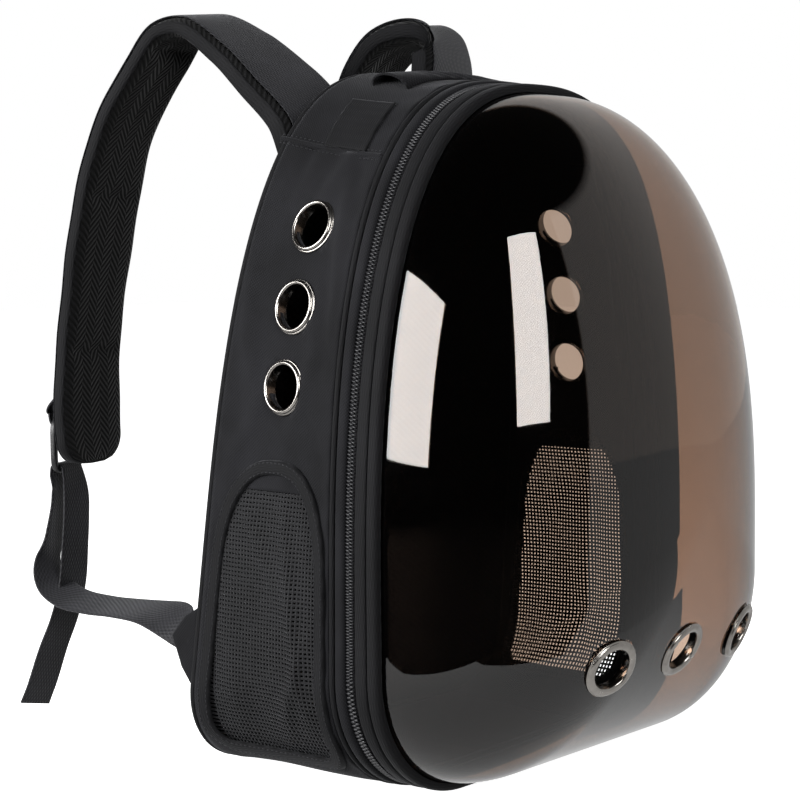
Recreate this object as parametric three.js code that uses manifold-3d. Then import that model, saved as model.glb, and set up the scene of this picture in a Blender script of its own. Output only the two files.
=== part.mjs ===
// Bubble pet carrier backpack: a soft arched bag whose front is a clear, tinted dome.
// Millimetres, +Z up. The bag stands on its base, the dome points to -Y, the wearer's back is at +Y.
// The origin is the middle of the underside.

import * as THREE from 'three';
import { mergeVertices } from 'three/addons/utils/BufferGeometryUtils.js';
import Module from 'manifold-3d';

const manifoldLibrary = await Module();
manifoldLibrary.setup();

// Gap between neighbouring pieces
const clearance = 0.3;

// Bag body
const bagWidth = 292;
const shellLift = 4.8;
const shellThickness = 2.8;
const gussetDepth = 144;
const backLean = 0.104;
const baseCentre = 70;
const backInset = 6.8;

// Outline of the bag: where the dome meets it, and at the back. Heights are above the ring line's lowest point.
// taper is the loss of width for each millimetre of height.
const frontOutline = { halfWidth: bagWidth / 2 - shellLift, height: 373, corner: 67, shoulder: 106, power: 2.55, taper: 0 };
const backOutline = { halfWidth: bagWidth / 2 - backInset, height: 385, corner: 46, shoulder: 112, power: 3, taper: 0.00035 };

// Slack of the cloth between the rim and the back: both the sides and the top are hollow
const sideHollow = 3.2;
const topHollow = 1;

// Dome
const domeReach = 112;
const domeThickness = 2.2;
const domePower = 1.955;
const domeCentre = 155;
const domeTuck = 9;
const domeHoleRadius = 11.4;
const domeHoleSpacing = 63;
const domeHoleHeight = 76;
const domeEyeletFlange = 16.5;

// Rim: distances run back from the ring plane
const frontRimLip = 2;
const frontRimDepth = 14;
const zipWidth = 7.4;
const rearRimDepth = 6.5;
const pipingRadius = 1.7;
const bindingRadius = 2.2;

// Back panel
const backPadding = 10;

// Seam between side and top panels, as a share of the arch
const seamShare = 0.785;

// Side eyelets
const eyeletHole = 12;
const eyeletBarrel = 0.9;
const eyeletFlange = 15.2;
const eyeletLip = 1.4;
const eyeletSink = 2.6;
const eyeletRise = 0.9;
const eyeletSides = 12;

// How far cutting bodies reach past what they cut
const cutReach = 30;
const eyeletDepthShare = 0.605;
const eyeletLowest = 219;
const eyeletPitch = 43;
const eyeletCount = 3;

// Mesh window in each side
const windowFront = 38.5;
const windowBack = 12;
const windowBottom = 15;
const windowTop = 176;
const windowPower = 2.5;
const windowCorner = 14;
const meshThickness = 1;
const meshBulge = 5.5;
const windowBindingWidth = 8;
const windowBindingThickness = 2;
const windowBindingSeat = 1.3;

// Gathered sleeve over the top, and the webbing patch below each end of it
const sleeveHalfLength = 50;
const sleeveWidth = 27;
const sleeveThickness = 1.6;
const sleeveCrown = 1.5;
const sleeveMouth = 7;
const sleeveSetback = 65;
const sleevePleats = 5;
const sleevePleatPitch = 10;
const sleevePleatHeight = 1.2;
const patchWidth = 32;
const patchThickness = 1.4;
const patchSetback = 62;
const patchHeight = 36;

// Shoulder straps
const strapWidth = 58;
const strapThickness = 11;
const strapPeak = 432;
const strapRoot = 372;
const strapDrop = 270;
const strapReach = 178;
const strapEnd = 16;

// Webbing, buckles and the tabs that hold the webbing
const webbingWidth = 25;
const webbingThickness = 1.6;
const tailDrop = 150;
const buckleWidth = 34;
const buckleHeight = 36;
const buckleThickness = 4;
const buckleBar = 4;
const buckleYaw = 22;
const strapEndYaw = 12;
const sewnEase = 0.9;
const tabEase = 1.6;
const sewnLength = 34;
const sewnBend = 21;
const tabThickness = 3;
const tabHigh = 93;
const tabLow = 46;
const tabReach = 24;
const tabInset = 8;

// Zip slider
const sliderLength = 14;
const sliderWidth = 8;
const sliderHeight = 3.4;

// Shoulder strap stations. across: share of half the bag's width. behind: share of the reach from the back panel.
// below: share of the drop from the peak. yaw, roll: degrees of the strap's width line.
// width, thick: shares of the strap's width and thickness.
const strapStations = {
  left: [
    { across: -0.335, behind: 0.028, below: 0.3, yaw: 12, roll: 20, width: 1.22, thick: 1.5 },
    { across: -0.365, behind: 0.09, below: 0.215, yaw: 22, roll: 21, width: 1.22, thick: 1.45 },
    { across: -0.41, behind: 0.202, below: 0.134, yaw: 25, roll: 19, width: 1.22, thick: 1.35 },
    { across: -0.455, behind: 0.326, below: 0.063, yaw: 25, roll: 14, width: 1.2, thick: 1.25 },
    { across: -0.515, behind: 0.463, below: 0.012, yaw: 24, roll: 7, width: 1.12, thick: 1.1 },
    { across: -0.56, behind: 0.567, below: 0.03, yaw: 21, roll: 2, width: 1.06, thick: 1 },
    { across: -0.592, behind: 0.655, below: 0.103, yaw: 18, roll: 0, width: 1.02, thick: 1 },
    { across: -0.618, behind: 0.775, below: 0.213, yaw: 15, roll: 0, width: 1, thick: 1 },
    { across: -0.635, behind: 0.835, below: 0.307, yaw: 14, roll: 0, width: 1, thick: 1 },
    { across: -0.655, behind: 0.912, below: 0.517, yaw: 13, roll: 0, width: 0.98, thick: 1 },
    { across: -0.662, behind: 0.972, below: 0.741, yaw: 12, roll: 0, width: 0.97, thick: 1 },
    { across: -0.658, behind: 0.989, below: 0.881, yaw: 12, roll: 0, width: 0.97, thick: 1 },
    { across: -0.652, behind: 0.983, below: 1.0, yaw: 12, roll: 0, width: 0.97, thick: 1 }
  ],
  right: [
    { across: 0.43, behind: 0.03, below: 0.304, yaw: 8, roll: 0, width: 1.3, thick: 1.4 },
    { across: 0.47, behind: 0.062, below: 0.14, yaw: 18, roll: 3, width: 1.3, thick: 1.4 },
    { across: 0.475, behind: 0.073, below: 0.08, yaw: 20, roll: 3, width: 1.3, thick: 1.4 },
    { across: 0.46, behind: 0.09, below: 0.04, yaw: 20, roll: 2, width: 1.28, thick: 1.4 },
    { across: 0.425, behind: 0.124, below: 0.018, yaw: 20, roll: 1, width: 1.24, thick: 1.35 },
    { across: 0.375, behind: 0.174, below: 0.014, yaw: 20, roll: 0, width: 1.2, thick: 1.3 },
    { across: 0.325, behind: 0.26, below: 0.04, yaw: 20, roll: 0, width: 1.14, thick: 1.2 },
    { across: 0.285, behind: 0.337, below: 0.11, yaw: 20, roll: 0, width: 1.08, thick: 1.1 },
    { across: 0.262, behind: 0.416, below: 0.259, yaw: 18, roll: 0, width: 1.02, thick: 1 },
    { across: 0.301, behind: 0.539, below: 0.415, yaw: 14, roll: 0, width: 0.98, thick: 1 },
    { across: 0.397, behind: 0.596, below: 0.581, yaw: 2, roll: 0, width: 0.97, thick: 1 },
    { across: 0.493, behind: 0.618, below: 0.748, yaw: -8, roll: 0, width: 0.97, thick: 1 },
    { across: 0.575, behind: 0.624, below: 0.915, yaw: -12, roll: 0, width: 0.97, thick: 1 },
    { across: 0.59, behind: 0.62, below: 1.0, yaw: -12, roll: 0, width: 0.97, thick: 1 }
  ]
};

// Webbing from the buckle to the tab. out, forward, down: shares of the way from the buckle to the tab.
const strandStations = [
  { out: 0.015, forward: 0.003, down: 0.125, yaw: 20, roll: 0 },
  { out: 0.12, forward: 0.0, down: 0.275, yaw: 22, roll: 2 },
  { out: 0.39, forward: 0.022, down: 0.525, yaw: 22, roll: 5 },
  { out: 0.6, forward: 0.054, down: 0.74, yaw: 20, roll: 10 },
  { out: 0.7, forward: 0.13, down: 0.91, yaw: 12, roll: 14 },
  { out: 0.73, forward: 0.233, down: 1.0, yaw: 4, roll: 16 },
  { out: 0.76, forward: 0.373, down: 1.01, yaw: 0, roll: 16 },
  { out: 0.8, forward: 0.526, down: 0.99, yaw: 0, roll: 16 },
  { out: 0.865, forward: 0.718, down: 0.96, yaw: 0, roll: 24 },
  { out: 0.94, forward: 0.884, down: 0.96, yaw: 0, roll: 48 },
  { out: 1.0, forward: 1.0, down: 1.0, yaw: 0, roll: 86 }
];

// Loose end of the webbing below the buckle. out, back, down: shares of the tail's drop.
const tailStations = [
  { out: -0.013, back: -0.027, down: 0.1 },
  { out: -0.02, back: -0.04, down: 0.2 },
  { out: -0.027, back: -0.047, down: 0.32 },
  { out: -0.027, back: -0.047, down: 0.48 },
  { out: -0.007, back: -0.027, down: 0.64 },
  { out: 0.027, back: 0.02, down: 0.77 },
  { out: 0.073, back: 0.073, down: 0.93 },
  { out: 0.087, back: 0.093, down: 1.0 }
];

const ringPlane = -baseCentre;
const mix = THREE.MathUtils.lerp;
const radians = THREE.MathUtils.degToRad;
const vector = (x, y, z) => new THREE.Vector3(x, y, z);

const bag = new THREE.Group();

const finishes = {
  polyester: { color: 0x2b2b2d, roughness: 0.85, metalness: 0 },
  binding: { color: 0x232324, roughness: 0.8, metalness: 0 },
  zip: { color: 0x1b1b1c, roughness: 0.45, metalness: 0 },
  padding: { color: 0x161617, roughness: 0.95, metalness: 0 },
  net: { color: 0x1a1a1b, roughness: 0.7, metalness: 0 },
  webbing: { color: 0x303033, roughness: 0.75, metalness: 0 },
  dome: { color: 0x8f7a69, roughness: 0.05, metalness: 0, transparent: true, opacity: 0.35 },
  nickel: { color: 0x8c8a88, roughness: 0.25, metalness: 1 },
  buckle: { color: 0x141414, roughness: 0.4, metalness: 0 }
};

function addPiece(name, geometry, finish) {
  const piece = new THREE.Mesh(geometry, new THREE.MeshStandardMaterial(finishes[finish]));
  piece.name = name;
  bag.add(piece);
  return piece;
}

// Closed body from corners and triangles, turned so that its faces point out
function closedBody(points, triangles) {
  let volume = 0;
  for (const [a, b, c] of triangles) {
    volume += points[a].dot(points[b].clone().cross(points[c]));
  }
  const index = triangles.flatMap(([a, b, c]) => (volume > 0 ? [a, b, c] : [a, c, b]));
  const geometry = new THREE.BufferGeometry().setFromPoints(points);
  geometry.setIndex(index);
  geometry.computeVertexNormals();
  return geometry;
}

// Body through rings of points of one length. A loop closes on itself, otherwise both ends are capped.
function loft(rings, isLoop) {
  const count = rings[0].length;
  const points = rings.flat();
  const triangles = [];
  const last = isLoop ? rings.length : rings.length - 1;
  for (let i = 0; i < last; i++) {
    const here = i * count;
    const next = ((i + 1) % rings.length) * count;
    for (let j = 0; j < count; j++) {
      const k = (j + 1) % count;
      triangles.push([here + j, here + k, next + k], [here + j, next + k, next + j]);
    }
  }
  if (!isLoop) {
    const end = (rings.length - 1) * count;
    for (let j = 1; j < count - 1; j++) {
      triangles.push([0, j + 1, j], [end, end + j, end + j + 1]);
    }
  }
  return closedBody(points, triangles);
}

// Wall between an outer and an inner skin, both given by place(u, v) at the listed values of u and v
function wall(us, vs, outer, inner) {
  const columns = us.length - 1;
  const rows = vs.length - 1;
  const points = [];
  const id = (layer, i, j) => (layer * (columns + 1) + i) * (rows + 1) + j;
  for (const place of [outer, inner]) {
    for (const u of us) {
      for (const v of vs) {
        points.push(place(u, v));
      }
    }
  }
  const triangles = [];
  const quad = (a, b, c, d) => triangles.push([a, b, c], [a, c, d]);
  for (let i = 0; i < columns; i++) {
    for (let j = 0; j < rows; j++) {
      quad(id(0, i, j), id(0, i + 1, j), id(0, i + 1, j + 1), id(0, i, j + 1));
      quad(id(1, i, j), id(1, i, j + 1), id(1, i + 1, j + 1), id(1, i + 1, j));
    }
    quad(id(0, i, 0), id(1, i, 0), id(1, i + 1, 0), id(0, i + 1, 0));
    quad(id(0, i, rows), id(0, i + 1, rows), id(1, i + 1, rows), id(1, i, rows));
  }
  for (let j = 0; j < rows; j++) {
    quad(id(0, 0, j), id(0, 0, j + 1), id(1, 0, j + 1), id(1, 0, j));
    quad(id(0, columns, j), id(1, columns, j), id(1, columns, j + 1), id(0, columns, j + 1));
  }
  return closedBody(points, triangles);
}

function toSolid(geometry) {
  const bare = geometry.clone();
  bare.deleteAttribute('normal');
  bare.deleteAttribute('uv');
  const merged = mergeVertices(bare, 1e-4);
  return new manifoldLibrary.Manifold(new manifoldLibrary.Mesh({
    numProp: 3,
    vertProperties: new Float32Array(merged.attributes.position.array),
    triVerts: new Uint32Array(merged.index.array)
  }));
}

function toGeometry(solid) {
  const mesh = solid.getMesh();
  const geometry = new THREE.BufferGeometry();
  geometry.setAttribute('position', new THREE.BufferAttribute(mesh.vertProperties, 3));
  geometry.setIndex(new THREE.BufferAttribute(mesh.triVerts, 1));
  geometry.computeVertexNormals();
  return geometry;
}

function cut(geometry, ...cutters) {
  return toGeometry(cutters.reduce((solid, cutter) => solid.subtract(toSolid(cutter)), toSolid(geometry)));
}

// Right half of an outline: flat bottom, round corner, side, then an arch. share runs from the bottom's
// middle to the top's middle.
const cornerStart = 0.12;
const cornerEnd = 0.32;
const archStart = 0.48;

function straightOutline({ halfWidth, height, corner, shoulder, power }, share) {
  if (share <= cornerStart) {
    return { x: (halfWidth - corner) * share / cornerStart, z: 0 };
  }
  if (share <= cornerEnd) {
    const turn = Math.PI / 2 * (share - cornerStart) / (cornerEnd - cornerStart);
    return { x: halfWidth - corner + corner * Math.sin(turn), z: corner - corner * Math.cos(turn) };
  }
  if (share <= archStart) {
    return { x: halfWidth, z: mix(corner, shoulder, (share - cornerEnd) / (archStart - cornerEnd)) };
  }
  const turn = Math.PI / 2 * (share - archStart) / (1 - archStart);
  const across = Math.max(Math.cos(turn), 0) ** (2 / power);
  return { x: halfWidth * across, z: shoulder + (height - shoulder) * Math.sin(turn) ** (2 / power) };
}

function halfOutline(outline, share) {
  const { x, z } = straightOutline(outline, share);
  return { x: x * (1 - outline.taper * z), z };
}

// How far the cloth stands out from the straight line between rim and back, at rows across the panel
const slackRows = [0, 0.7, 1, 0.7, 0];

function slack(share, across) {
  const place = THREE.MathUtils.clamp(across, 0, 1) * (slackRows.length - 1);
  const row = Math.min(Math.floor(place), slackRows.length - 2);
  const part = mix(slackRows[row], slackRows[row + 1], place - row);
  const up = THREE.MathUtils.smoothstep(share, cornerStart, cornerEnd);
  const hollow = mix(sideHollow, topHollow, THREE.MathUtils.smoothstep(share, 0.7, 0.9));
  return -up * hollow * part;
}

// Where the back plane is at a height above the underside
const backPlane = (z) => ringPlane + gussetDepth - backLean * (z - shellLift);

// Where the bag's skin is: share runs along the outline from -1 to 1 (0 is the bottom's middle), depth is
// the share of the way from the ring to the back, and lift is the distance out from the ring line.
function skin(place, depth, lift) {
  const share = place > 1 ? place - 2 : place;
  const side = Math.sign(share) || 1;
  const at = (s) => {
    const front = halfOutline(frontOutline, s);
    const back = halfOutline(backOutline, s);
    return { x: mix(front.x, back.x, depth), z: mix(front.z, back.z, depth) };
  };
  const s = Math.min(Math.abs(share), 1);
  const step = 0.002;
  const here = at(s);
  const before = at(Math.max(s - step, 0));
  const after = at(Math.min(s + step, 1));
  const along = new THREE.Vector2(after.x - before.x, after.z - before.z).normalize();
  const y = mix(ringPlane, backPlane(here.z + shellLift), depth);
  const panelEnd = backPlane(here.z + shellLift) - bindingRadius - clearance;
  const out = lift + slack(s, (y - ringPlane - panelStart) / (panelEnd - ringPlane - panelStart));
  return vector(side * (here.x + out * along.y), y, here.z - out * along.x + shellLift);
}

// The skin by a distance from the ring plane instead of a share of the depth
function skinFromRing(share, distance, lift) {
  let depth = distance / gussetDepth;
  for (let pass = 0; pass < 4; pass++) {
    depth = distance / (backPlane(skin(share, depth, 0).z) - ringPlane);
  }
  return skin(share, depth, lift);
}

// The skin by a distance in front of the back plane
function skinFromBack(share, distance, lift) {
  const full = skin(share, 1, 0).y - ringPlane;
  return skin(share, (full - distance) / full, lift);
}

// Share of the outline where the skin at a lift is at a height, on the side or the arch
function shareAtHeight(z, depth, lift) {
  let low = cornerEnd / 2;
  let high = 1;
  for (let pass = 0; pass < 40; pass++) {
    const middle = (low + high) / 2;
    if (skin(middle, depth, lift).z < z) {
      low = middle;
    } else {
      high = middle;
    }
  }
  return (low + high) / 2;
}

// A share moved along the outline by a distance
function nudge(share, distance) {
  const step = 0.001;
  const paces = Math.max(Math.ceil(Math.abs(distance)), 1);
  let moved = share;
  for (let pace = 0; pace < paces; pace++) {
    const length = skin(moved + step, 0.5, 0).distanceTo(skin(moved - step, 0.5, 0));
    moved += distance / paces * 2 * step / length;
  }
  return moved;
}

// All pieces that follow the outline turn at the same shares of it, so their gaps stay even
const outlineSteps = 44;
const shareStep = 2 / outlineSteps;
const allShares = Array.from({ length: outlineSteps }, (_, i) => -1 + i * shareStep);

function sharesBetween(from, to) {
  const margin = 0.02 * shareStep;
  const inner = [];
  for (let i = Math.ceil((from + margin) / shareStep); i * shareStep < to - margin; i++) {
    inner.push(i * shareStep);
  }
  return [from, ...inner, to];
}

const evenly = (steps) => Array.from({ length: steps + 1 }, (_, i) => i / steps);

// Band all round the outline. Its section is a list of distances from the ring plane and lifts.
function roundBand(section) {
  return loft(allShares.map((share) => section.map(
    ([distance, lift]) => skinFromRing(share, distance, lift)
  )), true);
}

function circleSection(centre, lift, radius, sides) {
  return Array.from({ length: sides }, (_, i) => {
    const turn = 2 * Math.PI * i / sides;
    return [centre + radius * Math.cos(turn), lift + radius * Math.sin(turn)];
  });
}

// Rim pieces, from the dome to the panels
const zipStart = frontRimDepth + clearance;
const zipEnd = zipStart + zipWidth;
const rearRimStart = zipEnd + clearance;
const rearRimEnd = rearRimStart + rearRimDepth;
const pipingCentre = rearRimEnd + clearance + pipingRadius;
const panelStart = pipingCentre + pipingRadius + clearance;
const panelInner = shellLift - shellThickness;

function addRim() {
  const groove = 1.1;
  const grooveAt = frontRimDepth * 0.42;
  addPiece('front_rim', roundBand([
    [-frontRimLip, clearance], [-frontRimLip, shellLift - 1], [grooveAt - groove, shellLift],
    [grooveAt, shellLift - groove], [grooveAt + groove, shellLift], [frontRimDepth, shellLift],
    [frontRimDepth, clearance]
  ]), 'binding');
  const zipMiddle = (zipStart + zipEnd) / 2;
  const tape = shellLift - 1.6;
  addPiece('zip', roundBand([
    [zipStart, panelInner - 1], [zipStart, tape], [zipMiddle, tape + 1.2], [zipEnd, tape],
    [zipEnd, panelInner - 1]
  ]), 'zip');
  addPiece('rear_rim', roundBand([
    [rearRimStart, clearance], [rearRimStart, shellLift], [rearRimEnd, shellLift], [rearRimEnd, clearance]
  ]), 'binding');
  addPiece('rim_piping', roundBand(circleSection(pipingCentre, shellLift - pipingRadius, pipingRadius, 4)), 'binding');
}

// Binding round the back panel's edge
function backBinding(radius) {
  const section = circleSection(0, shellLift - bindingRadius, radius, 5);
  return loft(allShares.map((share) => section.map(
    ([distance, lift]) => skinFromBack(share, -distance, lift)
  )), true);
}

// Padded back panel: a leaning plate whose edge steps in behind the binding
const backPanelFace = 0.8;

function backPanel() {
  const behind = shellLift - 2 * bindingRadius - clearance;
  const inside = panelInner - 1.7 * clearance;
  const step = bindingRadius + clearance;
  return loft([
    [backPanelFace, behind], [step, behind], [step + 0.1, inside], [backPanelFace + backPadding, inside]
  ].map(([distance, lift]) => allShares.map((share) => skinFromBack(share, distance, lift))), false);
}

// Panel of the shell between two shares of the outline
function shellPanel(from, to) {
  const place = (lift) => (share, v) => {
    const back = skinFromBack(share, bindingRadius + clearance, 0);
    return skinFromRing(share, mix(panelStart, back.y - ringPlane, v), lift);
  };
  return wall(sharesBetween(from, to), evenly(slackRows.length - 1), place(shellLift), place(panelInner));
}

// Place and outward direction on a side panel, at a height
function sideFrame(side, z, depth) {
  const share = shareAtHeight(z, depth, shellLift);
  const low = skin(side * (share - 0.01), depth, 0);
  const high = skin(side * (share + 0.01), depth, 0);
  const nearer = skin(side * share, depth - 0.1, 0);
  const farther = skin(side * share, depth + 0.1, 0);
  const normal = high.sub(low).cross(farther.sub(nearer)).normalize();
  if (normal.x * side < 0) {
    normal.negate();
  }
  return { place: skin(side * share, depth, shellLift).addScaledVector(normal, eyeletRise), normal };
}

// Body turned from a profile of radii and heights about a direction. It starts on the axis if solid.
function turned(profile, { place, normal }, isSolid) {
  const first = vector(0, 0, 1).cross(normal).normalize();
  const second = normal.clone().cross(first);
  const at = ([radius, height], i) => {
    const turn = 2 * Math.PI * i / eyeletSides;
    return place.clone().addScaledVector(normal, height)
      .addScaledVector(first, radius * Math.cos(turn)).addScaledVector(second, radius * Math.sin(turn));
  };
  const steps = Array.from({ length: eyeletSides }, (_, i) => i);
  if (isSolid) {
    return loft(profile.map((point) => steps.map((i) => at(point, i))), false);
  }
  return loft(steps.map((i) => profile.map((point) => at(point, i))), true);
}

// Metal ring whose two flanges clamp a sheet
function eyelet(hole, flange, sheet, frame) {
  const barrel = hole + eyeletBarrel;
  const under = -sheet - eyeletSink;
  return turned([
    [hole, clearance + eyeletLip * 0.5], [mix(hole, flange, 0.45), clearance + eyeletLip], [flange, clearance],
    [barrel, clearance], [barrel, under], [flange - 1, under], [hole, under - eyeletLip]
  ], frame, false);
}

function eyeletCutter(hole, frame) {
  const radius = hole + eyeletBarrel + clearance;
  return turned([[radius, -cutReach / 2], [radius, cutReach / 2]], frame, true);
}

// Window in a side: flat bottom with round corners under an arch. Returns distance from the ring and height.
function windowOutline(margin) {
  const bottom = windowBottom - margin;
  const top = windowTop + margin;
  const front = windowFront - margin;
  const back = (z) => backPlane(z) - ringPlane - windowBack + margin;
  const corner = windowCorner + margin;
  const spring = mix(bottom, top, 0.62);
  const straight = (from, to, steps) => Array.from({ length: steps - 1 }, (_, i) => [
    mix(from[0], to[0], (i + 1) / steps), mix(from[1], to[1], (i + 1) / steps)
  ]);
  const arch = evenly(8).map((share) => {
    const turn = Math.PI * share;
    const z = spring + (top - spring) * Math.sin(turn) ** (2 / windowPower);
    const reach = Math.sign(Math.cos(turn)) * Math.abs(Math.cos(turn)) ** (2 / windowPower);
    return [(front + back(z)) / 2 + (back(z) - front) / 2 * reach, z];
  });
  const bend = evenly(2).map((share) => [
    corner * (1 - Math.sin(Math.PI / 2 * share)), corner * (1 - Math.cos(Math.PI / 2 * share))
  ]);
  const backBend = bend.map(([inward, up]) => [back(bottom) - inward, bottom + up]);
  const frontBend = bend.map(([inward, up]) => [front + inward, bottom + up]).reverse();
  return [
    ...backBend, ...straight(backBend[2], arch[0], 4), ...arch,
    ...straight(arch[arch.length - 1], frontBend[0], 4), ...frontBend, ...straight(frontBend[2], backBend[0], 3)
  ];
}

function sidePoint(side, distance, z, lift) {
  const depth = distance / (backPlane(z) - ringPlane);
  return skin(side * shareAtHeight(z, depth, lift), depth, lift);
}

function windowCutter(side) {
  const reach = 2 * cutReach;
  const rings = [-reach, reach].map((lift) => windowOutline(0).map(([distance, z]) => {
    const edge = sidePoint(side, distance, z, shellLift);
    return vector(edge.x + lift, edge.y, edge.z);
  }));
  return loft(rings, false);
}

// Loose net in the window: rings of points shrink to its middle, and it swells out with two slack folds
function windowNet(side) {
  const edge = windowOutline(-1.5 * clearance);
  const centre = [mix(windowFront, backPlane(windowBottom) - ringPlane - windowBack, 0.5), mix(windowBottom, windowTop, 0.5)];
  const ringCount = 3;
  const swell = (r, turn, z) => {
    const fold = Math.cos(3 * turn + z * 0.03);
    return meshBulge * (1 - r ** 3) ** 1.5 * (0.8 + 0.2 * fold);
  };
  const skins = [0, meshThickness].map((inward) => {
    const rings = [];
    for (let k = ringCount; k >= 1; k--) {
      const r = k / ringCount;
      rings.push(edge.map(([distance, z], i) => {
        const at = [mix(centre[0], distance, r), mix(centre[1], z, r)];
        const turn = 2 * Math.PI * i / edge.length;
        return sidePoint(side, at[0], at[1], panelInner + meshThickness + 0.4 + swell(r, turn, at[1]) - inward);
      }));
    }
    return { rings, middle: sidePoint(side, centre[0], centre[1], panelInner + 0.4 + meshThickness + meshBulge - inward) };
  });
  const count = edge.length;
  const points = [...skins[0].rings.flat(), skins[0].middle, ...skins[1].rings.flat(), skins[1].middle];
  const half = ringCount * count + 1;
  const triangles = [];
  for (let k = 0; k < ringCount - 1; k++) {
    for (let j = 0; j < count; j++) {
      const a = k * count + j;
      const b = k * count + (j + 1) % count;
      triangles.push([a, b, b + count], [a, b + count, a + count]);
      triangles.push([half + a, half + b + count, half + b], [half + a, half + a + count, half + b + count]);
    }
  }
  for (let j = 0; j < count; j++) {
    const k = (j + 1) % count;
    const inner = (ringCount - 1) * count;
    triangles.push([inner + j, inner + k, half - 1], [half + inner + j, 2 * half - 1, half + inner + k]);
    triangles.push([j, half + j, half + k], [j, half + k, k]);
  }
  return closedBody(points, triangles);
}

function windowBinding(side) {
  const outer = windowOutline(windowBindingWidth / 2);
  const inner = windowOutline(-windowBindingWidth / 2);
  const low = shellLift + windowBindingSeat;
  const high = low + windowBindingThickness;
  const rings = outer.map(([distance, z], i) => {
    const [innerDistance, innerZ] = inner[i];
    return [
      sidePoint(side, distance, z, low), sidePoint(side, distance, z, high - 0.6),
      sidePoint(side, mix(distance, innerDistance, 0.5), mix(z, innerZ, 0.5), high),
      sidePoint(side, innerDistance, innerZ, high - 0.6), sidePoint(side, innerDistance, innerZ, low)
    ];
  });
  return loft(rings, true);
}

function addShell() {
  const halfGap = clearance / 2;
  const bottomEdge = nudge(cornerStart, -halfGap);
  addPiece('bottom_panel', shellPanel(-bottomEdge, bottomEdge), 'polyester');
  const topEdge = nudge(seamShare, halfGap);
  addPiece('top_panel', shellPanel(topEdge, 2 - topEdge), 'polyester');
  const low = nudge(cornerStart, halfGap);
  const high = nudge(seamShare, -halfGap);
  for (const [name, side] of [['left', -1], ['right', 1]]) {
    const cutters = [windowCutter(side)];
    for (let i = 0; i < eyeletCount; i++) {
      const frame = sideFrame(side, eyeletLowest + i * eyeletPitch, eyeletDepthShare);
      cutters.push(eyeletCutter(eyeletHole, frame));
      addPiece(`side_eyelet_${name}_${i + 1}`, eyelet(eyeletHole, eyeletFlange, shellThickness, frame), 'nickel');
    }
    const blank = side < 0 ? shellPanel(-high, -low) : shellPanel(low, high);
    addPiece(`side_panel_${name}`, cut(blank, ...cutters), 'polyester');
    addPiece(`net_window_${name}`, windowNet(side), 'net');
    addPiece(`window_binding_${name}`, windowBinding(side), 'binding');
  }
}

// Dome: the ring line shrinks towards a centre as it comes forward
function domeSkin(inward) {
  const turns = 8;
  const rings = [];
  const centre = vector(0, ringPlane, domeCentre + shellLift);
  for (let k = 0; k <= turns; k++) {
    const turn = Math.PI / 2 * Math.max(k - 1, 0) / turns;
    const shrink = Math.cos(turn) ** (2 / domePower);
    const forward = (domeReach - inward) * Math.sin(turn) ** (2 / domePower);
    rings.push(allShares.map((share) => {
      if (k === 0) {
        return skinFromRing(share, domeTuck, -clearance - inward);
      }
      const place = centre.clone().lerp(skin(share, 0, -clearance - inward), shrink);
      place.y = ringPlane - forward;
      return place;
    }));
  }
  return { rings, tip: vector(0, ringPlane - domeReach + inward, domeCentre + shellLift) };
}

function domeBody() {
  const outer = domeSkin(0);
  const inner = domeSkin(domeThickness);
  const count = outlineSteps;
  const levels = outer.rings.length;
  const points = [...outer.rings.flat(), outer.tip, ...inner.rings.flat(), inner.tip];
  const half = levels * count + 1;
  const triangles = [];
  for (let k = 0; k < levels - 1; k++) {
    for (let j = 0; j < count; j++) {
      const a = k * count + j;
      const b = k * count + (j + 1) % count;
      triangles.push([a, b, b + count], [a, b + count, a + count]);
      triangles.push([half + a, half + b + count, half + b], [half + a, half + a + count, half + b + count]);
    }
  }
  const last = (levels - 1) * count;
  for (let j = 0; j < count; j++) {
    const k = (j + 1) % count;
    triangles.push([last + j, last + k, half - 1], [half + last + j, 2 * half - 1, half + last + k]);
    triangles.push([j, half + j, half + k], [j, half + k, k]);
  }
  return closedBody(points, triangles);
}

// Point and outward direction on the dome, seen straight from the front at x and z
function domeFrame(x, z) {
  const depthAt = (px, pz) => {
    const across = new THREE.Vector2(px, pz - domeCentre - shellLift);
    let low = 0;
    let high = 1;
    const angle = (share) => {
      const edge = skin(share, 0, -clearance);
      return Math.atan2(edge.x, domeCentre + shellLift - edge.z);
    };
    const wanted = Math.atan2(Math.abs(across.x), -across.y);
    for (let pass = 0; pass < 40; pass++) {
      const middle = (low + high) / 2;
      if (angle(middle) < wanted) {
        low = middle;
      } else {
        high = middle;
      }
    }
    const edge = skin((low + high) / 2, 0, -clearance);
    const shrink = across.length() / Math.hypot(edge.x, edge.z - domeCentre - shellLift);
    return ringPlane - domeReach * (1 - shrink ** domePower) ** (1 / domePower);
  };
  const step = 2;
  const place = vector(x, depthAt(x, z), z);
  const across = vector(2 * step, depthAt(x + step, z) - depthAt(x - step, z), 0);
  const up = vector(0, depthAt(x, z + step) - depthAt(x, z - step), 2 * step);
  return { place, normal: across.cross(up).normalize() };
}

function addDome() {
  const holes = [-1, 0, 1].map((i) => domeFrame(i * domeHoleSpacing, domeHoleHeight));
  const cutters = holes.map((frame) => eyeletCutter(domeHoleRadius, frame));
  addPiece('dome', cut(domeBody(), ...cutters), 'dome');
  holes.forEach((frame, i) => {
    addPiece(`dome_eyelet_${i + 1}`, eyelet(domeHoleRadius, domeEyeletFlange, domeThickness, frame), 'nickel');
  });
}

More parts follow.
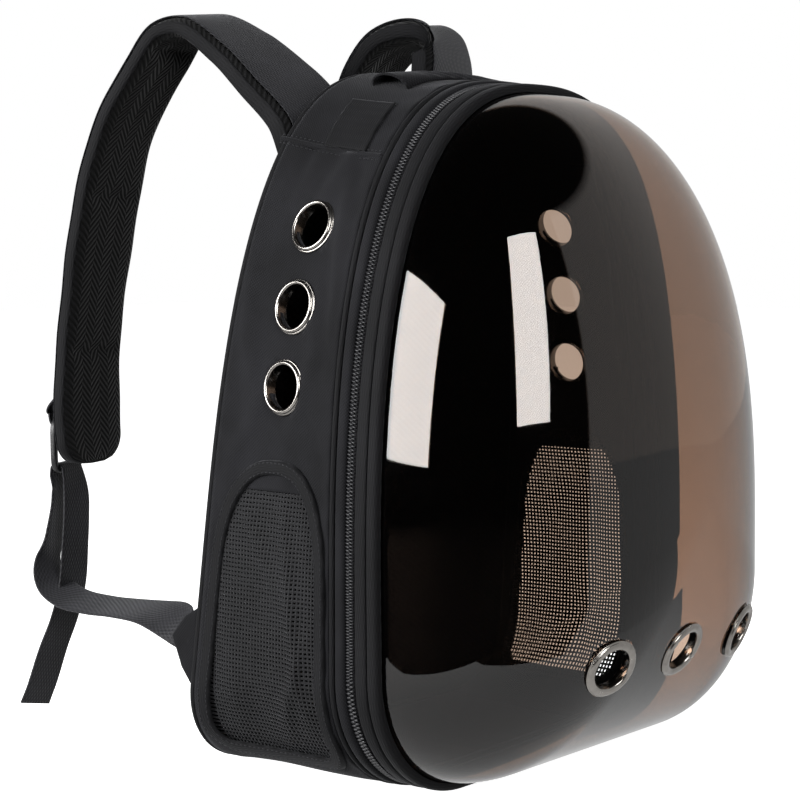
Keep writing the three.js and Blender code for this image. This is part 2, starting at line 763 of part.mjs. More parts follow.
// Gathered sleeve: a low tunnel over the arch, open at both ends
function topSleeve() {
  const seat = shellLift + clearance;
  const topAt = (x) => {
    let low = 0.5;
    let high = 1;
    for (let pass = 0; pass < 40; pass++) {
      const middle = (low + high) / 2;
      if (skinFromRing(middle, sleeveSetback, 0).x > Math.abs(x)) {
        low = middle;
      } else {
        high = middle;
      }
    }
    return (x < 0 ? -1 : 1) * (low + high) / 2;
  };
  const place = (isOuter) => (u, v) => {
    const x = mix(-sleeveHalfLength, sleeveHalfLength, u);
    const share = topAt(x);
    const rise = mix(sleeveCrown, sleeveMouth, Math.abs(2 * u - 1) ** 3);
    const across = 2 * v - 1;
    const arch = Math.sqrt(Math.max(1 - across ** 2, 0));
    const pleat = Math.max(0, 1 - Math.abs(x) / (sleevePleats * sleevePleatPitch / 2 + 6));
    const gather = sleevePleatHeight * Math.sqrt(pleat) * Math.cos(2 * Math.PI * (x + across * 5) / sleevePleatPitch);
    const thickness = isOuter ? sleeveThickness : 0;
    const half = sleeveWidth / 2 - (isOuter ? 0 : sleeveThickness);
    const lift = seat + (rise + gather * 0.5 + thickness) * arch;
    return skinFromRing(share, sleeveSetback + across * half, lift);
  };
  return wall(evenly(20), evenly(4), place(true), place(false));
}

// Patch of webbing sewn on above the seam, below the sleeve's mouth
function sidePatch(side) {
  const low = shellLift + clearance;
  const from = nudge(seamShare, 1);
  const shares = sharesBetween(from, nudge(from, patchHeight));
  const place = (lift) => (share, v) => skinFromRing(side * share, patchSetback + (v - 0.5) * patchWidth, lift);
  return wall(shares, evenly(3), place(low + patchThickness), place(low));
}

// Ribbon body along frames of place, across and thickness directions
function ribbon(frames, width, thickness, rounding) {
  const rings = frames.map(({ place, across, inward, narrow, deep }) => {
    const half = width / 2 * narrow;
    const full = thickness * deep;
    const corner = Math.min(rounding, full / 2, half);
    const section = corner === 0 ? [[-half, 0], [half, 0], [half, full], [-half, full]] : [
      [-half, corner], [-half + corner, 0], [half - corner, 0], [half, corner],
      [half, full - corner], [half - corner, full], [-half + corner, full], [-half, full - corner]
    ];
    return section.map(([a, b]) => place.clone().addScaledVector(across, a).addScaledVector(inward, b));
  });
  return loft(rings, false);
}

// Frames along a smooth line. turns holds each station's yaw and roll in degrees.
function framesAlong(stations, turns, steps) {
  const line = new THREE.CatmullRomCurve3(stations, false, 'centripetal');
  const last = stations.length - 1;
  return Array.from({ length: steps + 1 }, (_, i) => {
    const t = i / steps;
    const index = Math.min(Math.floor(t * last), last - 1);
    const part = THREE.MathUtils.smoothstep(t * last - index, 0, 1);
    const yaw = radians(mix(turns[index].yaw, turns[index + 1].yaw, part));
    const roll = radians(mix(turns[index].roll, turns[index + 1].roll, part));
    const narrow = mix(turns[index].width ?? 1, turns[index + 1].width ?? 1, part);
    const deep = mix(turns[index].thick ?? 1, turns[index + 1].thick ?? 1, part);
    const across = vector(Math.cos(yaw) * Math.cos(roll), Math.sin(yaw) * Math.cos(roll), Math.sin(roll));
    const tangent = line.getTangent(t);
    const inward = tangent.clone().cross(across).normalize();
    return { place: line.getPoint(t), across: inward.clone().cross(tangent).normalize(), inward, narrow, deep };
  });
}

const strapRootPlane = backPlane(strapRoot);

function strapFrames(name) {
  const rows = strapStations[name];
  const stations = rows.map(({ across, behind, below }) => vector(
    across * bagWidth / 2, strapRootPlane + behind * strapReach, strapPeak - below * strapDrop
  ));
  return framesAlong(stations, rows, 26);
}

// Middle of a hanging strap's outer face at a height
function faceAt(frames, z) {
  const i = frames.findIndex(({ place }, k) => k > frames.length / 2 && place.z < z);
  const above = frames[i - 1].place;
  const below = frames[i].place;
  return above.clone().lerp(below, (above.z - z) / (above.z - below.z));
}

function shoulderStrap(name) {
  const frames = strapFrames(name);
  const end = frames[frames.length - 1].place;
  for (const frame of frames) {
    const left = Math.min(frame.place.distanceTo(end) / strapEnd, 1);
    frame.narrow *= 0.45 + 0.55 * Math.sqrt(1 - (1 - left) ** 2);
  }
  const bagBlock = loft([2 * cutReach, 0].map((distance) => allShares.map(
    (share) => skinFromBack(share, distance + backPanelFace - clearance, shellLift + clearance)
  )), false);
  return cut(ribbon(frames, strapWidth, strapThickness, 4), bagBlock, backBinding(bindingRadius + clearance));
}

// Buckle frame: plate with an upper and a lower slot, standing in the strap's width line and the vertical
function buckleFrame() {
  const half = buckleWidth / 2;
  const outline = new THREE.Shape();
  const corner = 4;
  const slotWidth = buckleWidth - 2 * 3;
  const slotHeight = (buckleHeight - 3 * buckleBar) / 2;
  outline.moveTo(-half + corner, 0);
  outline.lineTo(half - corner, 0);
  outline.absarc(half - corner, corner, corner, -Math.PI / 2, 0);
  outline.lineTo(half, buckleHeight - corner);
  outline.absarc(half - corner, buckleHeight - corner, corner, 0, Math.PI / 2);
  outline.lineTo(-half + corner, buckleHeight);
  outline.absarc(-half + corner, buckleHeight - corner, corner, Math.PI / 2, Math.PI);
  outline.lineTo(-half, corner);
  outline.absarc(-half + corner, corner, corner, Math.PI, Math.PI * 1.5);
  for (const low of [buckleBar, 2 * buckleBar + slotHeight]) {
    const slot = new THREE.Path();
    slot.moveTo(-slotWidth / 2, low);
    slot.lineTo(-slotWidth / 2, low + slotHeight);
    slot.lineTo(slotWidth / 2, low + slotHeight);
    slot.lineTo(slotWidth / 2, low);
    slot.closePath();
    outline.holes.push(slot);
  }
  const plate = new THREE.ExtrudeGeometry(outline, { depth: buckleThickness, bevelEnabled: false, curveSegments: 2 });
  plate.rotateX(Math.PI / 2);
  plate.translate(0, buckleThickness / 2, 0);
  return plate;
}

// Half turn of webbing over a buckle's bar, as steps behind the buckle and up
function barTurn(height, radius) {
  const steps = 6;
  return Array.from({ length: steps + 1 }, (_, i) => {
    const turn = Math.PI * i / steps;
    return [-radius * Math.cos(turn), height + radius * Math.sin(turn)];
  });
}

function addStraps() {
  for (const [name, side] of [['left', -1], ['right', 1]]) {
    addPiece(`shoulder_strap_${name}`, shoulderStrap(name), 'padding');
    const frames = strapFrames(name);
    const end = frames[frames.length - 1].place;

    const yaw = -side * buckleYaw;
    const behind = vector(-Math.sin(radians(yaw)), Math.cos(radians(yaw)), 0);
    const hang = vector(end.x - side * 3, end.y + 21, end.z - 8);
    const local = ([back, up]) => hang.clone().addScaledVector(behind, back).add(vector(0, 0, up));
    const buckle = addPiece(`buckle_${name}`, buckleFrame(), 'buckle');
    buckle.position.copy(hang);
    buckle.rotation.z = radians(yaw);

    const seat = Math.hypot(buckleBar, buckleThickness) / 2 + 1.5 * clearance;
    const top = buckleHeight - buckleBar / 2;
    const strapYaw = -side * strapEndYaw;
    const off = vector(-Math.sin(radians(strapYaw)), Math.cos(radians(strapYaw)), 0);
    const onStrap = (up, lift) => faceAt(frames, hang.z + top + up).addScaledVector(off, lift);
    const under = clearance + webbingThickness + sewnEase;
    const over = under + clearance + sewnEase / 2;
    const loopPath = [
      onStrap(sewnLength, under), onStrap(sewnBend, under),
      ...[[-seat, top + 5], [-seat, top], [-seat * 0.7, top - seat * 0.7], [0, top - seat],
        [seat * 0.7, top - seat * 0.7], [seat, top], [seat, top + 6]].map(local),
      onStrap(sewnBend, over + clearance), onStrap(sewnLength, over)
    ];
    const level = loopPath.map((_, i) => ({ yaw: i > 1 && i < 9 ? yaw : strapYaw, roll: 0 }));
    addPiece(`buckle_loop_${name}`,
      ribbon(framesAlong(loopPath, level, 20), webbingWidth, webbingThickness, 0), 'webbing');

    const r = seat + webbingThickness;
    const turnPath = barTurn(buckleBar / 2, r).map(local);
    const tailTop = turnPath[0];
    const tailPath = [...tailStations].reverse().map(({ out, back, down }) => vector(
      tailTop.x + side * out * tailDrop, tailTop.y + back * tailDrop, tailTop.z - down * tailDrop
    ));
    const strandTop = turnPath[turnPath.length - 1];
    const tabPlace = vector(side * (bagWidth / 2 - tabInset - tabThickness - 2 * clearance - webbingThickness - tabEase),
      backPlane(tabHigh) + tabReach * 0.62, mix(tabLow, tabHigh, 0.66));
    const strandPath = strandStations.map(({ out, forward, down }) => vector(
      mix(strandTop.x, tabPlace.x, out), mix(strandTop.y, tabPlace.y, forward), mix(strandTop.z, tabPlace.z, down)
    ));
    const path = [...tailPath, ...turnPath, ...strandPath];
    const turns = [
      ...tailPath.map((_, i) => ({ yaw: yaw * (i + 1) / tailPath.length * 0.6, roll: 0 })),
      ...turnPath.map(() => ({ yaw, roll: 0 })),
      ...strandStations.map((row) => ({ yaw: -side * row.yaw, roll: -side * row.roll }))
    ];
    addPiece(`webbing_${name}`,
      ribbon(framesAlong(path, turns, (path.length - 1) * 2), webbingWidth, webbingThickness, 0), 'webbing');
    addPiece(`strap_tab_${name}`, strapTab(side), 'polyester');
  }
}

// Triangular tab sewn to the lower back edge
function strapTab(side) {
  const outer = bagWidth / 2 - tabInset;
  const seat = bindingRadius + clearance;
  const profile = [
    [backPlane(tabLow) + seat, tabLow], [backPlane(tabHigh) + seat, tabHigh],
    [backPlane(tabHigh) + tabReach * 0.55, tabHigh - 6], [backPlane(tabHigh) + tabReach, mix(tabLow, tabHigh, 0.62)],
    [backPlane(tabLow) + tabReach * 0.5, mix(tabLow, tabHigh, 0.25)]
  ];
  const rings = [outer, outer - tabThickness].map((x) => profile.map(([y, z]) => vector(side * x, y, z)));
  return loft(rings, false);
}

function addSlider() {
  const middle = (zipStart + zipEnd) / 2;
  const share = 0.4;
  const from = shellLift + clearance;
  const place = (lift) => (u, v) => skinFromRing(
    share + (u - 0.5) * sliderLength / 1000, middle + (v - 0.5) * sliderWidth, lift
  );
  addPiece('zip_slider', wall(evenly(1), evenly(1), place(from + sliderHeight), place(from)), 'nickel');
}

addShell();
addRim();
addPiece('back_panel', backPanel(), 'padding');
addPiece('back_binding', backBinding(bindingRadius), 'binding');
addDome();
addStraps();
addPiece('top_sleeve', topSleeve(), 'webbing');
addPiece('side_patch_left', sidePatch(-1), 'webbing');
addPiece('side_patch_right', sidePatch(1), 'webbing');
addSlider();

export default bag;
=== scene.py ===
# Bubble pet carrier backpack: a soft arched bag with a clear, tinted dome for its front.
# The shapes are worked out in millimetres and put into the meshes in metres.
import math
import bpy
import numpy as np
from mathutils import Matrix


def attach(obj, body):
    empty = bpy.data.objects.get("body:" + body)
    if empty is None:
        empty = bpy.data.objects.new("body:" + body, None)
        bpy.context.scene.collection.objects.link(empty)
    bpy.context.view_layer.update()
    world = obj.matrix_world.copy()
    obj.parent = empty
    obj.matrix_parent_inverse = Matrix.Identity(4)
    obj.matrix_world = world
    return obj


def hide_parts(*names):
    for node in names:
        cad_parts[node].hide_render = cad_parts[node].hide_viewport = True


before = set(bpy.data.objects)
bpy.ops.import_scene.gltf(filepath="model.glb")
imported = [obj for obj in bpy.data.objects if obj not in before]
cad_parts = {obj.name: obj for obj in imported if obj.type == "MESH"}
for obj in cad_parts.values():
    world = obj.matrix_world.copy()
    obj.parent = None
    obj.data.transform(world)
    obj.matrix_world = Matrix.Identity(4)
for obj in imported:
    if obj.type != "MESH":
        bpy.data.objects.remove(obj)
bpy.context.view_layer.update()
millimetre = 0.001


# Helpers for materials
def linear(hexColour):
    # sRGB to linear: ((c + 0.055) / 1.055) to the power 2.4, or c / 12.92 in the darkest part
    parts = np.array([int(hexColour[i:i + 2], 16) / 255 for i in (1, 3, 5)])
    values = np.where(parts > 0.04045, ((parts + 0.055) / 1.055) ** 2.4, parts / 12.92)
    return (*values.tolist(), 1.0)


def addNode(tree, kind, settings=None, links=None):
    # one node: settings are inputs by name or number, or the node's own properties, and links are sockets
    node = tree.nodes.new(kind)
    for key, value in (settings or {}).items():
        if isinstance(key, int) or key in node.inputs:
            node.inputs[key].default_value = value
        else:
            setattr(node, key, value)
    for key, socket in (links or {}).items():
        tree.links.new(socket, node.inputs[key])
    return node


def mathNode(tree, operation, first, second=None):
    # each of the two inputs is a socket or a number
    parts = {k: part for k, part in enumerate((first, second)) if part is not None}
    links = {k: part for k, part in parts.items() if isinstance(part, bpy.types.NodeSocket)}
    numbers = {k: part for k, part in parts.items() if k not in links}
    return addNode(tree, "ShaderNodeMath", {"operation": operation, **numbers}, links).outputs[0]


def rangeNode(tree, value, toMin=0.0, toMax=1.0, fromMin=0.0, fromMax=1.0):
    settings = {"From Min": fromMin, "From Max": fromMax, "To Min": toMin, "To Max": toMax}
    return addNode(tree, "ShaderNodeMapRange", settings, {"Value": value}).outputs[0]


def colourMix(tree, factor, first, second):
    settings = {"data_type": "RGBA", 6: linear(first), 7: linear(second)}
    return addNode(tree, "ShaderNodeMix", settings, {0: factor}).outputs[2]


def noiseNode(tree, scale, **more):
    # noise in the object's own place, so that it stays on the piece
    place = addNode(tree, "ShaderNodeTexCoord").outputs["Object"]
    return addNode(tree, "ShaderNodeTexNoise", {"Scale": scale, **more}, {"Vector": place}).outputs[0]


def bumpNode(tree, height, strength, distance):
    settings = {"Strength": strength, "Distance": distance}
    return addNode(tree, "ShaderNodeBump", settings, {"Height": height}).outputs[0]


def newMaterial(name):
    material = bpy.data.materials.new(name)
    material.use_nodes = True
    material.node_tree.nodes.clear()
    return material, material.node_tree


def finishMaterial(tree, settings, links):
    shader = addNode(tree, "ShaderNodeBsdfPrincipled", settings, links)
    addNode(tree, "ShaderNodeOutputMaterial", None, {"Surface": shader.outputs[0]})


# Helpers for shapes
def mix(a, b, t):
    return a + (b - a) * t


def smoothStep(x, low, high):
    t = np.clip((x - low) / (high - low), 0, 1)
    return t * t * (3 - 2 * t)


def unit(v):
    return v / np.maximum(np.linalg.norm(v, axis=-1, keepdims=True), 1e-9)


def pairs(a, b):
    return np.stack(np.broadcast_arrays(a, b), -1)


def gridQuads(rows, columns, closeRows=False, closeColumns=False):
    # quads between neighbouring rows and columns; a closed direction joins its last line to its first
    row, column = np.arange(rows - (not closeRows)), np.arange(columns - (not closeColumns))
    i, j = np.meshgrid(row, column, indexing="ij")
    corners = [(i, j), (i + 1, j), (i + 1, j + 1), (i, j + 1)]
    quads = np.stack([(a % rows) * columns + b % columns for a, b in corners], -1).reshape(-1, 4)
    lookup = np.stack([a * (columns + closeColumns) + b for a, b in corners], -1).reshape(-1, 4)
    return quads, lookup


def makePiece(name, points, quads, material, node=None, uv=None, lookup=None, awayFrom=None):
    # puts corner points in millimetres and quads into a mesh, with one UV pair for each corner of each face.
    # The faces are turned to point away from the given point, or outwards where the body is closed.
    points = np.asarray(points, float).reshape(-1, 3)
    corners = points[quads]
    facing = np.cross(corners[:, 2] - corners[:, 0], corners[:, 3] - corners[:, 1])
    source = points.mean(0) if awayFrom is None else np.asarray(awayFrom, float)
    if np.sum((corners.mean(1) - source) * facing) < 0:
        quads = quads[:, ::-1]
        lookup = None if lookup is None else lookup[:, ::-1]
    used, index = np.unique(quads, return_inverse=True)
    quads = index.reshape(np.shape(quads))
    mesh = bpy.data.meshes.new(name)
    mesh.vertices.add(len(used))
    mesh.vertices.foreach_set("co", (points[used] * millimetre).ravel())
    mesh.loops.add(quads.size)
    mesh.loops.foreach_set("vertex_index", quads.ravel().astype(np.int32))
    mesh.polygons.add(len(quads))
    mesh.polygons.foreach_set("loop_start", np.arange(0, quads.size, 4, dtype=np.int32))
    mesh.update(calc_edges=True)
    if uv is not None:
        layer = mesh.uv_layers.new(name="UVMap")
        flat = np.asarray(uv, float).reshape(-1, 2)[lookup.ravel()]
        layer.data.foreach_set("uv", (flat * millimetre).ravel())
    mesh.validate()
    mesh.polygons.foreach_set("use_smooth", np.ones(len(mesh.polygons), bool))
    piece = bpy.data.objects.new(name, mesh)
    bpy.context.scene.collection.objects.link(piece)
    mesh.materials.append(material)
    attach(piece, "root")
    if node:
        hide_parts(node)
    return piece


def thicken(piece, thickness):
    # Solidify grows the sheet's wall inwards
    wall = piece.modifiers.new("wall", "SOLIDIFY")
    wall.thickness = thickness * millimetre
    wall.offset = -1
    return piece


def runLength(path, isLoop=False):
    # distance run along a path at each of its points, and once round for a loop
    steps = np.linalg.norm(np.diff(path, axis=0, append=path[:1]), axis=-1)
    run = np.concatenate([[0], np.cumsum(steps)])
    return run if isLoop else run[:-1]


def sweptPiece(name, path, across, up, section, material, node=None, isLoop=False):
    # carries a closed section of (across, up) pairs along a path. The ends are closed with quads unless it is
    # a loop. Its UV is the distance along and the distance round.
    section = np.asarray(section, float)
    if section.ndim == 2:
        section = np.broadcast_to(section, (len(path), *section.shape))
    rings = path[:, None] + section[:, :, :1] * across[:, None] + section[:, :, 1:] * up[:, None]
    count, sides = rings.shape[:2]
    along = runLength(path, isLoop)
    around = runLength(rings[count // 2], True)
    uv = np.stack(np.meshgrid(along, around, indexing="ij"), -1)
    quads, lookup = gridQuads(count, sides, isLoop, True)
    if not isLoop:
        k = np.arange(sides // 2 - 1)
        cap = np.stack([k, k + 1, sides - 2 - k, sides - 1 - k], -1)
        quads = np.concatenate([quads, cap, cap[:, ::-1] + (count - 1) * sides])
        lookup = np.concatenate([lookup, cap, cap[:, ::-1] + (count - 1) * (sides + 1)])
    return makePiece(name, rings, quads, material, node, uv, lookup)


def roundSection(radius, sides=10, squash=1.0):
    turn = 2 * np.pi * np.arange(sides) / sides
    return np.stack([radius * np.cos(turn), radius * squash * np.sin(turn)], -1)


def boxSection(width, thickness, power=6, sides=20, lift=0.0):
    # superellipse: cosine and sine to the power 2 / power, as wide and thick as asked, its underside at lift
    turn = 2 * np.pi * (np.arange(sides) + 0.5) / sides
    bend = lambda v: np.sign(v) * np.abs(v) ** (2 / power)
    return np.stack([width / 2 * bend(np.cos(turn)), lift + thickness / 2 * (1 + bend(np.sin(turn)))], -1)


def resample(path, count, isLoop=False):
    # points at even distances along a path
    run = runLength(path, isLoop)
    closed = np.concatenate([path, path[:1]]) if isLoop else path
    wanted = np.linspace(0, run[-1], count + 1)[:-1] if isLoop else np.linspace(0, run[-1], count)
    return np.stack([np.interp(wanted, run, closed[:, k]) for k in range(path.shape[1])], -1)


def smoothLine(stations, count):
    # centripetal Catmull-Rom spline: the first three columns are places, and any further ones go with them
    p = np.asarray(stations, float)
    p = np.concatenate([[2 * p[0] - p[1]], p, [2 * p[-1] - p[-2]]])
    gap = np.maximum(np.sum((p[1:, :3] - p[:-1, :3]) ** 2, -1) ** 0.25, 1e-4)[:, None]
    last = len(stations) - 1
    t = np.linspace(0, last, count)
    i = np.minimum(t.astype(int), last - 1)
    w = (t - i)[:, None]
    a, b, c = gap[i], gap[i + 1], gap[i + 2]
    p0, p1, p2, p3 = p[i], p[i + 1], p[i + 2], p[i + 3]
    start = ((p1 - p0) / a - (p2 - p0) / (a + b) + (p2 - p1) / b) * b
    end = ((p2 - p1) / b - (p3 - p1) / (b + c) + (p3 - p2) / c) * b
    return (p1 + start * w + (3 * (p2 - p1) - 2 * start - end) * w ** 2
            + (2 * (p1 - p2) + start + end) * w ** 3)


def stitchRow(name, path, up, material, pitch=3.2, share=0.62, radius=0.28, isLoop=False):
    # a row of thread stitches: each one is a short six-sided capsule that dips into the cloth at both ends
    run = runLength(path, isLoop)
    closed = np.concatenate([path, path[:1]]) if isLoop else path
    ups = np.concatenate([up, up[:1]]) if isLoop else up
    count = max(int(run[-1] / pitch), 2)
    middles = (np.arange(count) + 0.5) * run[-1] / count
    ring = np.array([-0.5, -0.42, 0, 0.42, 0.5])
    thick = np.array([0.15, 0.8, 1, 0.8, 0.15])
    where = middles[:, None] + ring * share * run[-1] / count
    at = np.stack([np.interp(where, run, closed[:, k]) for k in range(3)], -1)
    lift = unit(np.stack([np.interp(where, run, ups[:, k]) for k in range(3)], -1))
    along = unit(at[:, -1:] - at[:, :1])
    side = np.cross(along, lift)
    turn = 2 * np.pi * np.arange(6) / 6
    dip = radius * (thick[:, None] - 0.75)
    girth = radius * thick[:, None]
    points = (at[:, :, None] + lift[:, :, None] * (dip + girth * np.sin(turn))[None, ..., None]
              + side[:, :, None] * (girth * np.cos(turn))[None, ..., None])
    quads, _ = gridQuads(5, 6, False, True)
    cap = np.array([[0, 1, 4, 5], [1, 2, 3, 4]])
    quads = np.concatenate([quads, cap, cap[:, ::-1] + 24])
    every = (quads[None] + 30 * np.arange(count)[:, None, None]).reshape(-1, 4)
    return makePiece(name, points, every, material)


# The bag's outline and skin. share runs from the middle of the floor, 0, up the side to the top, 1.
bag = {
    "lift": 4.8,              # the rim stands under the ring line by this much
    "ringY": -70.0,           # plane where the dome meets the bag
    "depth": 144.0,           # from the ring to the back, at the floor
    "lean": 0.104,            # the back leans towards the dome by this much for each unit of height
    "cloth": 2.2,             # padded cloth of the walls
    "front": {"halfWidth": 141.2, "height": 373.0, "corner": 67.0, "shoulder": 106.0, "power": 2.55,
              "taper": 0.0},
    "back": {"halfWidth": 139.2, "height": 385.0, "corner": 46.0, "shoulder": 112.0, "power": 3.0,
             "taper": 0.00035},
    "cornerStart": 0.12, "cornerEnd": 0.32, "archStart": 0.48, "seam": 0.785,
    "sideHollow": 3.2, "topHollow": 1.0,
    "panelStart": 32.5, "binding": 2.2, "gap": 0.3, "seamGap": 0.15,
}


def halfOutline(outline, share):
    # flat floor, round corner, straight side, then a superellipse arch, narrowed with height by the taper
    corner, shoulder, half = outline["corner"], outline["shoulder"], outline["halfWidth"]
    turn = np.pi / 2 * np.clip((share - bag["cornerStart"]) / (bag["cornerEnd"] - bag["cornerStart"]), 0, 1)
    rise = np.clip((share - bag["cornerEnd"]) / (bag["archStart"] - bag["cornerEnd"]), 0, 1)
    arch = np.pi / 2 * np.clip((share - bag["archStart"]) / (1 - bag["archStart"]), 0, 1)
    flat = np.clip(share / bag["cornerStart"], 0, 1)
    bend = 2 / outline["power"]
    side = half - corner + corner * np.sin(turn)
    x = np.where(share <= bag["cornerStart"], (half - corner) * flat, side)
    x = np.where(share > bag["archStart"], half * np.maximum(np.cos(arch), 0) ** bend, x)
    z = corner * (1 - np.cos(turn)) + (shoulder - corner) * rise
    z = z + (outline["height"] - shoulder) * np.maximum(np.sin(arch), 0) ** bend
    return x * (1 - outline["taper"] * z), z


def backPlane(z):
    return bag["ringY"] + bag["depth"] - bag["lean"] * (z - bag["lift"])


def skin(place, depth, lift):
    # outline point at this share, between the front and back outlines by depth, moved out along the outline's
    # normal by the lift, less the hollow of the slack cloth
    place = np.where(place > 1, place - 2, place)
    side = np.where(place < 0, -1.0, 1.0)
    share = np.minimum(np.abs(place), 1.0)

    def outlineAt(s):
        frontX, frontZ = halfOutline(bag["front"], s)
        backX, backZ = halfOutline(bag["back"], s)
        return mix(frontX, backX, depth), mix(frontZ, backZ, depth)

    step = 0.002
    x, z = outlineAt(share)
    lowX, lowZ = outlineAt(np.maximum(share - step, 0))
    highX, highZ = outlineAt(np.minimum(share + step, 1))
    size = np.hypot(highX - lowX, highZ - lowZ)
    alongX, alongZ = (highX - lowX) / size, (highZ - lowZ) / size
    back = backPlane(z + bag["lift"])
    y = mix(bag["ringY"], back, depth)
    start = bag["ringY"] + bag["panelStart"]
    across = np.clip((y - start) / (back - bag["binding"] - bag["gap"] - start), 0, 1)
    hollow = mix(bag["sideHollow"], bag["topHollow"], smoothStep(share, 0.7, 0.9))
    hollow = hollow * smoothStep(share, bag["cornerStart"], bag["cornerEnd"]) * np.sin(np.pi * across)
    out = lift - hollow
    return np.stack(np.broadcast_arrays(side * (x + out * alongZ), y, z - out * alongX + bag["lift"]), -1)


def skinFromRing(place, distance, lift):
    # the skin at a distance behind the ring plane
    depth = distance / bag["depth"]
    for _ in range(4):
        depth = distance / (backPlane(skin(place, depth, 0)[..., 2]) - bag["ringY"])
    return skin(place, depth, lift)


def skinFromBack(place, distance, lift):
    # the skin at a distance in front of the back plane
    full = skin(place, 1.0, 0)[..., 1] - bag["ringY"]
    return skin(place, (full - distance) / full, lift)


def shareAtHeight(z, depth, lift):
    # halves the range of shares until the skin is at the height
    low = np.full(np.shape(z), bag["cornerEnd"] / 2)
    high = np.ones(np.shape(z))
    for _ in range(24):
        middle = (low + high) / 2
        isBelow = skin(middle, depth, lift)[..., 2] < z
        low = np.where(isBelow, middle, low)
        high = np.where(isBelow, high, middle)
    return (low + high) / 2


# Distance run round the middle of the bag, from the floor's middle, against the share
tableShares = np.linspace(-1, 1, 4001)
tableArcs = runLength(skin(tableShares, 0.5, bag["lift"]))
tableArcs = tableArcs - tableArcs[2000]
halfRound = tableArcs[-1]


def shareAt(arc):
    return np.interp(arc, tableArcs, tableShares)


def arcAt(share):
    return np.interp(share, tableShares, tableArcs)


def sidePoint(side, distance, z, lift):
    # the skin of one side at a distance behind the ring plane and a height
    depth = distance / (backPlane(z) - bag["ringY"])
    return skin(side * shareAtHeight(z, depth, lift), depth, lift)


def roundPath(distance, lift, count=420):
    # loop round the bag at a distance behind the ring plane, with its outward directions
    shares = shareAt(np.linspace(-halfRound, halfRound, count + 1)[:-1])
    path = skinFromRing(shares, distance, lift)
    return path, unit(skinFromRing(shares, distance, lift + 1.0) - path)


def roundBand(name, section, material, node, count=420):
    # band all round the bag. Its section is a list of distances from the ring plane and lifts.
    section = np.asarray(section, float)
    shares = shareAt(np.linspace(-halfRound, halfRound, count + 1)[:-1])
    points = skinFromRing(shares[:, None], section[None, :, 0], section[None, :, 1])
    around = np.concatenate([[0], np.cumsum(np.hypot(*np.diff(section, axis=0, append=section[:1]).T))])
    uv = np.stack(np.meshgrid(np.linspace(0, 2 * halfRound, count + 1), around, indexing="ij"), -1)
    quads, lookup = gridQuads(count, len(section), True, True)
    return makePiece(name, points, quads, material, node, uv, lookup)


def rollSection(start, end, base, top, crown, count=14, power=3.0):
    # the upper line of a rolled edge: crown * (1 - |x| ^ power) ^ (1 / power) above the top
    x = -np.cos(np.linspace(0, np.pi, count))
    rise = (1 - np.abs(x) ** power) ** (1 / power)
    return np.stack([mix(start, end, (x + 1) / 2), base + (top - base + crown) * rise], -1)


print("shape of the bag ready")


# Materials
def uvNode(tree):
    return addNode(tree, "ShaderNodeTexCoord").outputs["UV"]


def weaveHeight(tree, coordinate, warp, weft):
    # plain weave: sine of u times sine of v, with a full wave for each pair of threads
    scale = (math.pi / (warp * millimetre), math.pi / (weft * millimetre), 1)
    scaled = addNode(tree, "ShaderNodeMapping", {"Scale": scale}, {"Vector": coordinate})
    parts = addNode(tree, "ShaderNodeSeparateXYZ", None, {"Vector": scaled.outputs[0]})
    u = mathNode(tree, "SINE", parts.outputs[0])
    v = mathNode(tree, "SINE", parts.outputs[1])
    return rangeNode(tree, mathNode(tree, "MULTIPLY", u, v), fromMin=-1.0)


def clothMaterial(name, dark, light, warp, weft, roughness, sheen, bump, gloss=0.2):
    # woven cloth: the weave sets the relief and also darkens the colour where the threads dip, painted shade
    # in the weave's hollows; soft noise sets lighter and darker patches of handling and dust
    material, tree = newMaterial(name)
    height = weaveHeight(tree, uvNode(tree), warp, weft)
    patches = noiseNode(tree, 22.0, Detail=4.0, Roughness=0.55)
    # colour from the noise patches and the weave height: the dips of the weave come out darker, painted shade
    dustAndWeaveShade = addNode(tree, "ShaderNodeMix", {"data_type": "FLOAT", 0: 0.35}, {2: patches, 3: height})
    colour = addNode(tree, "ShaderNodeValToRGB", None, {0: dustAndWeaveShade.outputs[0]})
    for element, position, shade in zip(colour.color_ramp.elements, (0.3, 0.75), (dark, light)):
        element.position = position
        element.color = linear(shade)
    settings = {"Roughness": roughness, "IOR": 1.45, "Specular IOR Level": gloss, "Sheen Weight": sheen,
                "Sheen Roughness": 0.4, "Sheen Tint": (0.75, 0.76, 0.8, 1)}
    relief = bumpNode(tree, height, bump, 0.0003)
    finishMaterial(tree, settings, {"Base Color": colour.outputs[0], "Normal": relief})
    return material


# Woven 600 denier polyester: dull black with a faint grey bloom where it turns away
polyester = clothMaterial("woven polyester", "#09090a", "#1d1d20", 0.9, 0.9, 0.82, 0.07, 0.5, 0.12)
# Grosgrain tape: fine ribs across the band, a shade darker
grosgrain = clothMaterial("grosgrain binding", "#080809", "#141416", 6.0, 0.8, 0.75, 0.06, 0.5, 0.14)
# Polypropylene webbing: coarse ribs that catch the light
webbingCloth = clothMaterial("ribbed webbing", "#101012", "#26262a", 2.4, 1.2, 0.6, 0.14, 0.9, 0.25)
# Spacer mesh of polyester over foam: deep black, with open cells
airMesh = clothMaterial("spacer mesh", "#040404", "#121213", 3.0, 2.0, 0.9, 0.03, 1.0, 0.06)


